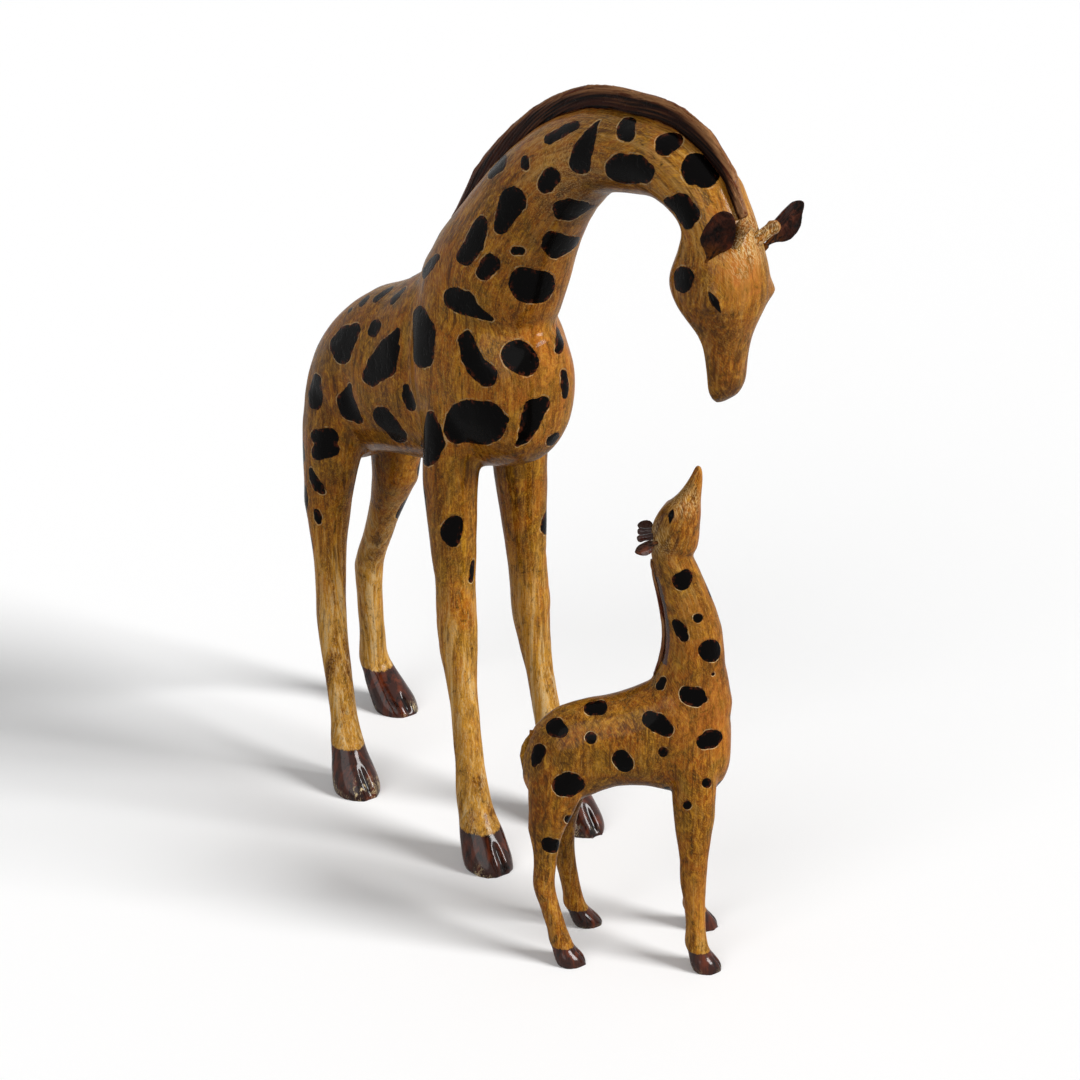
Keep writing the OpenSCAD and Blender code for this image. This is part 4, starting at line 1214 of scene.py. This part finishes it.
def painted_wood(name, figure):
    """Ochre paint rubbed back along the grain, with spots, hooves and warm tints laid by measures, among them
    painted shade and painted highlight.
    """
    finish = bpy.context.scene.giraffe_finish
    material, tree, shader, grain, strokes = brushed(name, figure)
    spot = place(tree, "Painted Spot", {"Distance": measure(tree, "spot"), "Grain": grain})
    patina, pale, blush = measure(tree, "patina"), measure(tree, "pale"), measure(tree, "blush")
    base = tint(tree, ramp(tree, strokes["Patina"], 0.38, 0.60),
                colour(finish.ochre_deep), colour(finish.ochre))
    base = tint(tree, math_of(tree, "MULTIPLY", pale, 0.65), base, colour(finish.straw))
    # Warm blush, partly a painted highlight on brow, chest and forward faces.
    base = tint(tree, math_of(tree, "MULTIPLY", blush, ramp(tree, strokes["Blotch"], 0.36, 0.58)), base,
                colour(finish.blush))
    smooth = math_of(tree, "MULTIPLY_ADD", blush, -0.6, 1.0)
    layers = (
        ("Drift", 0.50, 0.60, 0.65, -0.4, finish.amber), ("Drift", 0.49, 0.39, 0.7, -0.3, finish.olive),
        ("Sweep", 0.50, 0.60, 0.12, 0.8, finish.gilt), ("Sweep", 0.49, 0.39, 0.65, 0.2, finish.ochre_deep),
        ("Sweep", 0.55, 0.66, 0.0, 0.6, finish.chalk), ("Sweep", 0.43, 0.33, 0.3, 0.3, finish.umber),
        ("Blotch", 0.53, 0.65, 0.7, -0.1, finish.gilt), ("Blotch", 0.47, 0.35, 0.95, -0.2, finish.moss),
        ("Hatch", 0.52, 0.64, 0.6, 0.0, finish.gilt), ("Hair", 0.52, 0.68, 0.4, -0.1, finish.gilt),
        ("Hair", 0.54, 0.70, 0.10, 0.35, finish.chalk), ("Streak", 0.52, 0.64, 0.3, -0.1, finish.gilt),
        ("Streak", 0.53, 0.66, 0.05, 0.35, finish.chalk), ("Hair", 0.46, 0.33, 0.3, -0.1, finish.umber),
        ("Hatch", 0.45, 0.33, 0.3, 0.0, finish.umber), ("Streak", 0.47, 0.35, 0.7, -0.25, finish.umber),
    )
    for stroke, low, high, share, on_pale, hue in layers:
        weight = math_of(tree, "MULTIPLY_ADD", pale, on_pale, share)
        weight = math_of(tree, "MULTIPLY", weight, smooth)
        laid = math_of(tree, "MULTIPLY", ramp(tree, strokes[stroke], low, high), weight)
        base = tint(tree, laid, base, colour(hue))
    # Umber film over patina and painted shade: flanks, belly and glaze patches darkened.
    film = math_of(tree, "MULTIPLY", patina, ramp(tree, strokes["Blotch"], 0.62, 0.40, 0.3, 0.8))
    base = tint(tree, film, base, colour(finish.umber))
    chalk = math_of(tree, "MULTIPLY", measure(tree, "chalk"), ramp(tree, strokes["Hatch"], 0.48, 0.62))
    base = tint(tree, chalk, base, colour(finish.chalk))
    base = tint(tree, math_of(tree, "MULTIPLY", spot["Rim"], figure["rim"]), base, colour(finish.chalk))
    black = tint(tree, spot["Worn"], colour(finish.black), colour(finish.rust))
    base = tint(tree, spot["Paint"], base, black)
    edge = measure(tree, "hoof")
    for stroke, wave in (("Blotch", 4.0), ("Hair", 1.6)):
        edge = math_of(tree, "ADD", edge, math_of(tree, "MULTIPLY_ADD", strokes[stroke], wave, -wave / 2))
    hoof = ramp(tree, edge, 0.5, -0.7)
    toe = tint(tree, ramp(tree, strokes["Blotch"], 0.36, 0.52), colour(finish.black), colour(finish.hoof))
    toe = tint(tree, ramp(tree, strokes["Sweep"], 0.46, 0.66), toe, colour(finish.rust))
    worn = math_of(tree, "MULTIPLY", ramp(tree, edge, -15.0, -29.0), ramp(tree, strokes["Hatch"], 0.50, 0.60))
    worn = math_of(tree, "MULTIPLY", worn, ramp(tree, strokes["Patina"], 0.50, 0.60))
    chipped = math_of(tree, "MULTIPLY", measure(tree, "chalk"), ramp(tree, strokes["Blotch"], 0.52, 0.57))
    worn = math_of(tree, "MAXIMUM", worn, chipped)
    toe = tint(tree, worn, toe, colour(finish.chalk))
    # Painted shade: the toe cleft and the grooves of a dark tail tuft are painted black.
    toe = tint(tree, measure(tree, "cleft"), toe, colour(finish.black))
    base = tint(tree, hoof, base, toe)
    tree.links.new(base, shader.inputs["Base Color"])
    dark_paint = math_of(tree, "MAXIMUM", spot["Paint"], hoof)
    gloss = math_of(tree, "MULTIPLY_ADD", dark_paint, -0.16, 0.42)
    knocks = varnished(tree, shader, grain, gloss)
    sheen = math_of(tree, "MULTIPLY_ADD", hoof, 0.3, 0.15)
    sheen = math_of(tree, "MULTIPLY_ADD", spot["Paint"], -0.10, sheen)
    tree.links.new(sheen, shader.inputs["Coat Weight"])
    calm = math_of(tree, "MULTIPLY_ADD", dark_paint, -0.7, 1.0)
    height = math_of(tree, "MULTIPLY", strokes["Height"], calm)
    height = math_of(tree, "MULTIPLY_ADD", knocks, 0.45, height)
    height = math_of(tree, "MULTIPLY_ADD", spot["Groove"], -1.3, height)
    height = math_of(tree, "MULTIPLY_ADD", spot["Paint"], 0.3, height)
    raised(tree, shader, height, 0.7, 0.0005 / figure["brush"])
    return material


def mane_paint(name, figure):
    """Nearly black red-brown hair, painted brown on its ridges for wear and as a painted highlight."""
    finish = bpy.context.scene.giraffe_finish
    material, tree, shader, grain, strokes = brushed(name, figure)
    base = tint(tree, ramp(tree, strokes["Streak"], 0.40, 0.62), colour(finish.black), colour(finish.mane))
    ridge = math_of(tree, "MULTIPLY", measure(tree, "pale"), ramp(tree, strokes["Hair"], 0.26, 0.46))
    base = tint(tree, ridge, base, colour(finish.rust))
    crest = math_of(tree, "MULTIPLY", math_of(tree, "MULTIPLY", ridge, measure(tree, "chalk")),
                    ramp(tree, strokes["Streak"], 0.38, 0.56))
    base = tint(tree, crest, base, colour(finish.crest))
    tree.links.new(base, shader.inputs["Base Color"])
    height = math_of(tree, "MULTIPLY_ADD", strokes["Hair"], 1.6, varnished(tree, shader, grain, 0.36))
    raised(tree, shader, height, 0.8, 0.0006 / figure["brush"])
    return material


def ear_paint(name, figure):
    """Dark ears with a warmer, rubbed hollow."""
    finish = bpy.context.scene.giraffe_finish
    material, tree, shader, grain, strokes = brushed(name, figure)
    mottle = grain_noise(tree, grain, (0.16, 0.16, 0.11), 5.0, 0.65, 0.5)
    base = tint(tree, ramp(tree, mottle, 0.36, 0.56), colour(finish.black), colour(finish.mane))
    base = tint(tree, ramp(tree, mottle, 0.54, 0.70), base, colour(finish.rust))
    dust = math_of(tree, "MULTIPLY", ramp(tree, strokes["Hatch"], 0.42, 0.62), figure["dust"])
    base = tint(tree, dust, base, colour(finish.dust))
    hollow = math_of(tree, "MULTIPLY", measure(tree, "pale"), ramp(tree, mottle, 0.48, 0.62))
    base = tint(tree, hollow, base, colour(finish.ear_hollow))
    stem = math_of(tree, "MULTIPLY", measure(tree, "patina"), ramp(tree, mottle, 0.40, 0.55, 0.0, 0.6))
    base = tint(tree, stem, base, colour(finish.ochre_deep))
    tree.links.new(base, shader.inputs["Base Color"])
    height = math_of(tree, "ADD", strokes["Height"], varnished(tree, shader, grain, 0.34))
    raised(tree, shader, height, 0.6, 0.0005 / figure["brush"])
    return material


def eye_paint(name, figure):
    """A black lacquered eye inside rust-brown lids."""
    finish = bpy.context.scene.giraffe_finish
    material, tree, shader, _, strokes = brushed(name, figure)
    lid = measure(tree, "chalk")
    rim = tint(tree, ramp(tree, strokes["Hair"], 0.4, 0.62), colour(finish.mane), colour(finish.umber))
    tree.links.new(tint(tree, lid, colour(finish.black), rim), shader.inputs["Base Color"])
    tree.links.new(math_of(tree, "MULTIPLY_ADD", lid, 0.3, 0.1), shader.inputs["Roughness"])
    raised(tree, shader, math_of(tree, "MULTIPLY", strokes["Height"], lid), 0.4, 0.0004 / figure["brush"])
    return material


def bare_wood(name):
    """Pale turned wood for the hidden dowels."""
    finish = bpy.context.scene.giraffe_finish
    material, tree, shader = new_material(name)
    place_of = node(tree, "ShaderNodeTexCoord").outputs["Object"]
    rings = grain_noise(tree, place_of, (700.0, 700.0, 60.0), 4.0)
    tree.links.new(tint(tree, ramp(tree, rings, 0.35, 0.65), colour(finish.wood), colour(finish.wood_dark)),
                   shader.inputs["Base Color"])
    tree.links.new(math_of(tree, "MULTIPLY_ADD", rings, 0.2, 0.5), shader.inputs["Roughness"])
    raised(tree, shader, rings, 0.3, 0.0003)
    return material


PAINTS = {"skin": painted_wood, "mane": mane_paint, "ear": ear_paint, "eye": eye_paint}


def paint(kind, name):
    """The finish of one kind of piece at a figure's own brush scale, made once."""
    label = f"{name}_{kind}_paint"
    if "Brush Strokes" not in bpy.data.node_groups:
        brush_strokes()
        painted_spot()
        lacquer()
    return bpy.data.materials.get(label) or PAINTS[kind](label, FIGURES[name])


class GiraffeCarving(bpy.types.PropertyGroup):
    """Sizes of the carving."""

    voxel: FloatProperty(name="Blend Size", description="Size at which the mother's blocks are blended",
                         default=0.003, min=0.001, max=0.01, precision=4, unit="LENGTH")
    easing: IntProperty(name="Easing", description="Rounds of smoothing over the blended skin",
                        default=28, min=0, max=100)
    cleft_depth: FloatProperty(name="Toe Cleft", description="Depth of the cut between the mother's toes",
                               default=0.0022, min=0.0, max=0.006, precision=4, unit="LENGTH")
    hand_marks: FloatProperty(name="Hand Marks", description="Unevenness left on the mother's skin",
                              default=0.0005, min=0.0, max=0.003, precision=4, unit="LENGTH")
    strand_depth: FloatProperty(name="Mane Strands", description="Depth of the cuts in the mother's mane",
                                default=0.00025, min=0.0, max=0.002, precision=5, unit="LENGTH")


def paint_colour(label, description, value):
    return FloatVectorProperty(name=label, description=description, default=value, min=0.0, max=1.0,
                               size=3, subtype="COLOR")


class GiraffeFinish(bpy.types.PropertyGroup):
    """Colours of the paint."""

    ochre: paint_colour("Ochre", "Main golden paint", (0.315, 0.104, 0.0050))
    ochre_deep: paint_colour("Deep Ochre", "Main paint where it lies thick", (0.175, 0.053, 0.0030))
    amber: paint_colour("Amber", "Orange cast of the varnish in wide drifts", (0.33, 0.081, 0.0045))
    olive: paint_colour("Olive", "Green-brown cast of the varnish in wide drifts", (0.18, 0.088, 0.0055))
    straw: paint_colour("Straw", "Thinner, paler paint low on the legs", (0.49, 0.262, 0.055))
    gilt: paint_colour("Gilt", "Light strokes brushed across the main paint", (0.55, 0.255, 0.021))
    # Umber is also the colour of the painted shade on flanks, belly and glaze patches.
    umber: paint_colour("Umber", "Brown glaze left in the brush lines", (0.050, 0.0155, 0.0025))
    moss: paint_colour("Moss", "Olive brown of the old varnish in mottled patches", (0.060, 0.030, 0.0045))
    dust: paint_colour("Dust", "Grey brown film on the calf's ears and horns", (0.085, 0.055, 0.042))
    # Blush is also the colour of the painted highlight on brow, chest and forward faces.
    blush: paint_colour("Blush", "Warm rubbed patches on brow and chest", (0.44, 0.138, 0.026))
    chalk: paint_colour("Chalk", "Pale ground showing through the rubbing", (0.66, 0.52, 0.29))
    black: paint_colour("Spot Black", "Paint of the spots", (0.0011, 0.0008, 0.0007))
    rust: paint_colour("Rust", "Red-brown that shows where dark paint is worn", (0.095, 0.019, 0.006))
    hoof: paint_colour("Hoof", "Paint of the hooves", (0.030, 0.0075, 0.0040))
    mane: paint_colour("Mane", "Paint of manes and ears", (0.026, 0.0062, 0.0030))
    # The crest colour is also the mane's painted highlight.
    crest: paint_colour("Crest", "Worn top of the mane", (0.30, 0.145, 0.060))
    ear_hollow: paint_colour("Ear Hollow", "Rubbed middle of an ear", (0.075, 0.023, 0.012))
    wood: paint_colour("Wood", "Light bands of the bare dowels", (0.56, 0.37, 0.18))
    wood_dark: paint_colour("Dark Wood", "Dark bands of the bare dowels", (0.38, 0.22, 0.09))


class GiraffeStage(bpy.types.PropertyGroup):
    """Floor, lamps and camera."""

    floor: paint_colour("Floor", "Colour of floor and backdrop", (0.97, 0.97, 0.97))
    bounce: paint_colour("Bounce", "Colour of the light that the floor gives back", (0.36, 0.35, 0.34))
    key: FloatProperty(name="Key Lamp", description="Strength of the lamp on the right", default=3.5, min=0.0)
    fill: FloatProperty(name="Fill Lamp", description="Strength of the lamp on the left",
                        default=1.2, min=0.0)
    air: FloatProperty(name="Air", description="Strength of the light from all round", default=0.23, min=0.0)
    lens: FloatProperty(name="Lens", description="Focal length of the camera in mm on a 36 mm square frame",
                        default=86.67, min=10.0)


class GIRAFFE_OT_skins(bpy.types.Operator):
    """Blends, paints and cuts the torso, neck, head and legs of both figures"""

    bl_idname = "giraffe.skins"
    bl_label = "Carve Skins"

    def execute(self, context):
        for name in FIGURES:
            SKINS[name] = carve_skin(name)
            for block, mesh in cut_skin(name, SKINS[name]):
                show_piece(f"{name}_{block}_painted", mesh, paint("skin", name),
                           (f"{name}_{block}",), OCHRE_SLOT)
        return {"FINISHED"}


class GIRAFFE_OT_manes(bpy.types.Operator):
    """Cuts the hair of both manes"""

    bl_idname = "giraffe.manes"
    bl_label = "Comb Manes"

    def execute(self, context):
        for name in FIGURES:
            mesh = smooth_mesh(f"{name}_mane_combed", name, hair_mane(name))
            show_piece(mesh.name, mesh, paint("mane", name), (f"{name}_mane",), DARK_SLOT)
        return {"FINISHED"}


class GIRAFFE_OT_ears(bpy.types.Operator):
    """Hollows the four leaf ears"""

    bl_idname = "giraffe.ears"
    bl_label = "Hollow Ears"

    def execute(self, context):
        for name in FIGURES:
            for side in SIDES:
                mesh = smooth_mesh(f"{name}_ear_{side}_cupped", name, leaf_ear(name, side))
                show_piece(mesh.name, mesh, paint("ear", name), (f"{name}_ear_{side}",), DARK_SLOT)
        return {"FINISHED"}


class GIRAFFE_OT_horns(bpy.types.Operator):
    """Rounds the four horns"""

    bl_idname = "giraffe.horns"
    bl_label = "Round Horns"

    def execute(self, context):
        for name in FIGURES:
            for side in SIDES:
                mesh = smooth_mesh(f"{name}_horn_{side}_knobbed", name, knob_horn(name, side))
                show_piece(mesh.name, mesh, paint("skin", name), (f"{name}_horn_{side}",), OCHRE_SLOT)
        return {"FINISHED"}


class GIRAFFE_OT_tails(bpy.types.Operator):
    """Combs the tufts of both tails"""

    bl_idname = "giraffe.tails"
    bl_label = "Comb Tails"

    def execute(self, context):
        for name in FIGURES:
            mesh = smooth_mesh(f"{name}_tail_combed", name, tufted_tail(name))
            show_piece(mesh.name, mesh, paint("skin", name), (f"{name}_tail",), OCHRE_SLOT)
        return {"FINISHED"}


class GIRAFFE_OT_eyes(bpy.types.Operator):
    """Lays the eyes and lids on both heads"""

    bl_idname = "giraffe.eyes"
    bl_label = "Lay Eyes"

    def execute(self, context):
        for name in FIGURES:
            for side in SIDES:
                mesh = smooth_mesh(f"{name}_eye_{side}", name, almond_eye(name, side))
                show_piece(mesh.name, mesh, paint("eye", name), (), DARK_SLOT)
        return {"FINISHED"}


class GIRAFFE_OT_dowels(bpy.types.Operator):
    """Gives the hidden dowels their bare wood"""

    bl_idname = "giraffe.dowels"
    bl_label = "Finish Dowels"

    def execute(self, context):
        material = bare_wood("dowel_wood")
        for name in FIGURES:
            for dowel in DOWELS:
                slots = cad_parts[f"{name}_{dowel}"].data.materials
                slots.clear()
                slots.append(material)
        return {"FINISHED"}


def lamp(name, towards, softness, strength):
    """A distant soft lamp in a direction from the figures."""
    data = bpy.data.lights.new(name, "SUN")
    data.energy, data.angle = strength, math.radians(softness)
    obj = bpy.data.objects.new(name, data)
    obj.rotation_euler = (-Vector(towards)).to_track_quat("-Z", "Y").to_euler()
    bpy.context.scene.collection.objects.link(obj)


def seen_ray(tree):
    """1 for rays that show a surface to the camera, straight or by reflection."""
    path = node(tree, "ShaderNodeLightPath").outputs
    seen = math_of(tree, "MAXIMUM", path["Is Camera Ray"], path["Is Glossy Ray"])
    return math_of(tree, "MAXIMUM", seen, path["Is Transmission Ray"])


def pale_floor(seen, returned):
    """A wide pale floor that shows bright and gives back less light than it shows."""
    bm = bmesh.new()
    bmesh.ops.create_circle(bm, cap_ends=True, radius=FLOOR_RADIUS, segments=96)
    mesh = bpy.data.meshes.new("floor")
    bm.to_mesh(mesh)
    bm.free()
    floor = bpy.data.objects.new("floor", mesh)
    bpy.context.scene.collection.objects.link(floor)
    material = bpy.data.materials.new("pale_floor")
    material.use_nodes = True
    tree = material.node_tree
    tree.nodes.clear()
    shown = tint(tree, seen_ray(tree), colour(returned), colour(seen))
    matt = node(tree, "ShaderNodeBsdfDiffuse", {"Color": shown})
    node(tree, "ShaderNodeOutputMaterial", {"Surface": matt.outputs[0]})
    mesh.materials.append(material)


class GIRAFFE_OT_stage(bpy.types.Operator):
    """Sets the floor, the soft lamps, the air and the camera"""

    bl_idname = "giraffe.stage"
    bl_label = "Set Stage"

    def execute(self, context):
        scene = context.scene
        stage = scene.giraffe_stage
        pale_floor(stage.floor, stage.bounce)
        lamp("key", KEY_WAY, KEY_SPREAD, stage.key)
        lamp("fill", FILL_WAY, FILL_SPREAD, stage.fill)
        world = bpy.data.worlds.new("air")
        scene.world = world
        world.use_nodes = True
        tree = world.node_tree
        tree.nodes.clear()
        soft = node(tree, "ShaderNodeBackground", {"Color": (1, 1, 1, 1), "Strength": stage.air})
        white = node(tree, "ShaderNodeBackground", {"Color": (1, 1, 1, 1), "Strength": 1.0})
        mixed = node(tree, "ShaderNodeMixShader",
                     {0: seen_ray(tree), 1: soft.outputs[0], 2: white.outputs[0]})
        node(tree, "ShaderNodeOutputWorld", {"Surface": mixed.outputs[0]})
        data = bpy.data.cameras.new("camera")
        data.sensor_width, data.lens = SENSOR, stage.lens
        camera = bpy.data.objects.new("camera", data)
        camera.location = CAMERA_PLACE
        aim = Vector(CAMERA_AIM) - Vector(CAMERA_PLACE)
        camera.rotation_euler = aim.to_track_quat("-Z", "Y").to_euler()
        scene.collection.objects.link(camera)
        scene.camera = camera
        scene.view_settings.view_transform = "Standard"
        return {"FINISHED"}


OPERATORS = (GIRAFFE_OT_skins, GIRAFFE_OT_manes, GIRAFFE_OT_ears, GIRAFFE_OT_horns, GIRAFFE_OT_tails,
             GIRAFFE_OT_eyes, GIRAFFE_OT_dowels, GIRAFFE_OT_stage)


class GIRAFFE_PT_bench(bpy.types.Panel):
    """The carver's bench"""

    bl_idname = "GIRAFFE_PT_bench"
    bl_label = "Giraffe Pair"
    bl_space_type = "VIEW_3D"
    bl_region_type = "UI"
    bl_category = "Giraffes"

    def draw(self, context):
        layout = self.layout
        for label, _ in GROUPS:
            group = getattr(context.scene, label)
            box = layout.box()
            for prop in group.bl_rna.properties:
                if prop.identifier not in ("rna_type", "name"):
                    box.prop(group, prop.identifier)
        for operator in OPERATORS:
            layout.operator(operator.bl_idname)


GROUPS = (("giraffe_carving", GiraffeCarving), ("giraffe_finish", GiraffeFinish),
          ("giraffe_stage", GiraffeStage))


def register():
    for label, group in GROUPS:
        bpy.utils.register_class(group)
        setattr(bpy.types.Scene, label, PointerProperty(type=group))
    for operator in OPERATORS:
        bpy.utils.register_class(operator)
    bpy.utils.register_class(GIRAFFE_PT_bench)


def unregister():
    bpy.utils.unregister_class(GIRAFFE_PT_bench)
    for operator in reversed(OPERATORS):
        bpy.utils.unregister_class(operator)
    for label, group in reversed(GROUPS):
        delattr(bpy.types.Scene, label)
        bpy.utils.unregister_class(group)


def main():
    register()
    bpy.ops.giraffe.stage()
    bpy.ops.giraffe.skins()
    bpy.ops.giraffe.manes()
    bpy.ops.giraffe.ears()
    bpy.ops.giraffe.horns()
    bpy.ops.giraffe.tails()
    bpy.ops.giraffe.eyes()
    bpy.ops.giraffe.dowels()


if __name__ == "__main__":
    main()
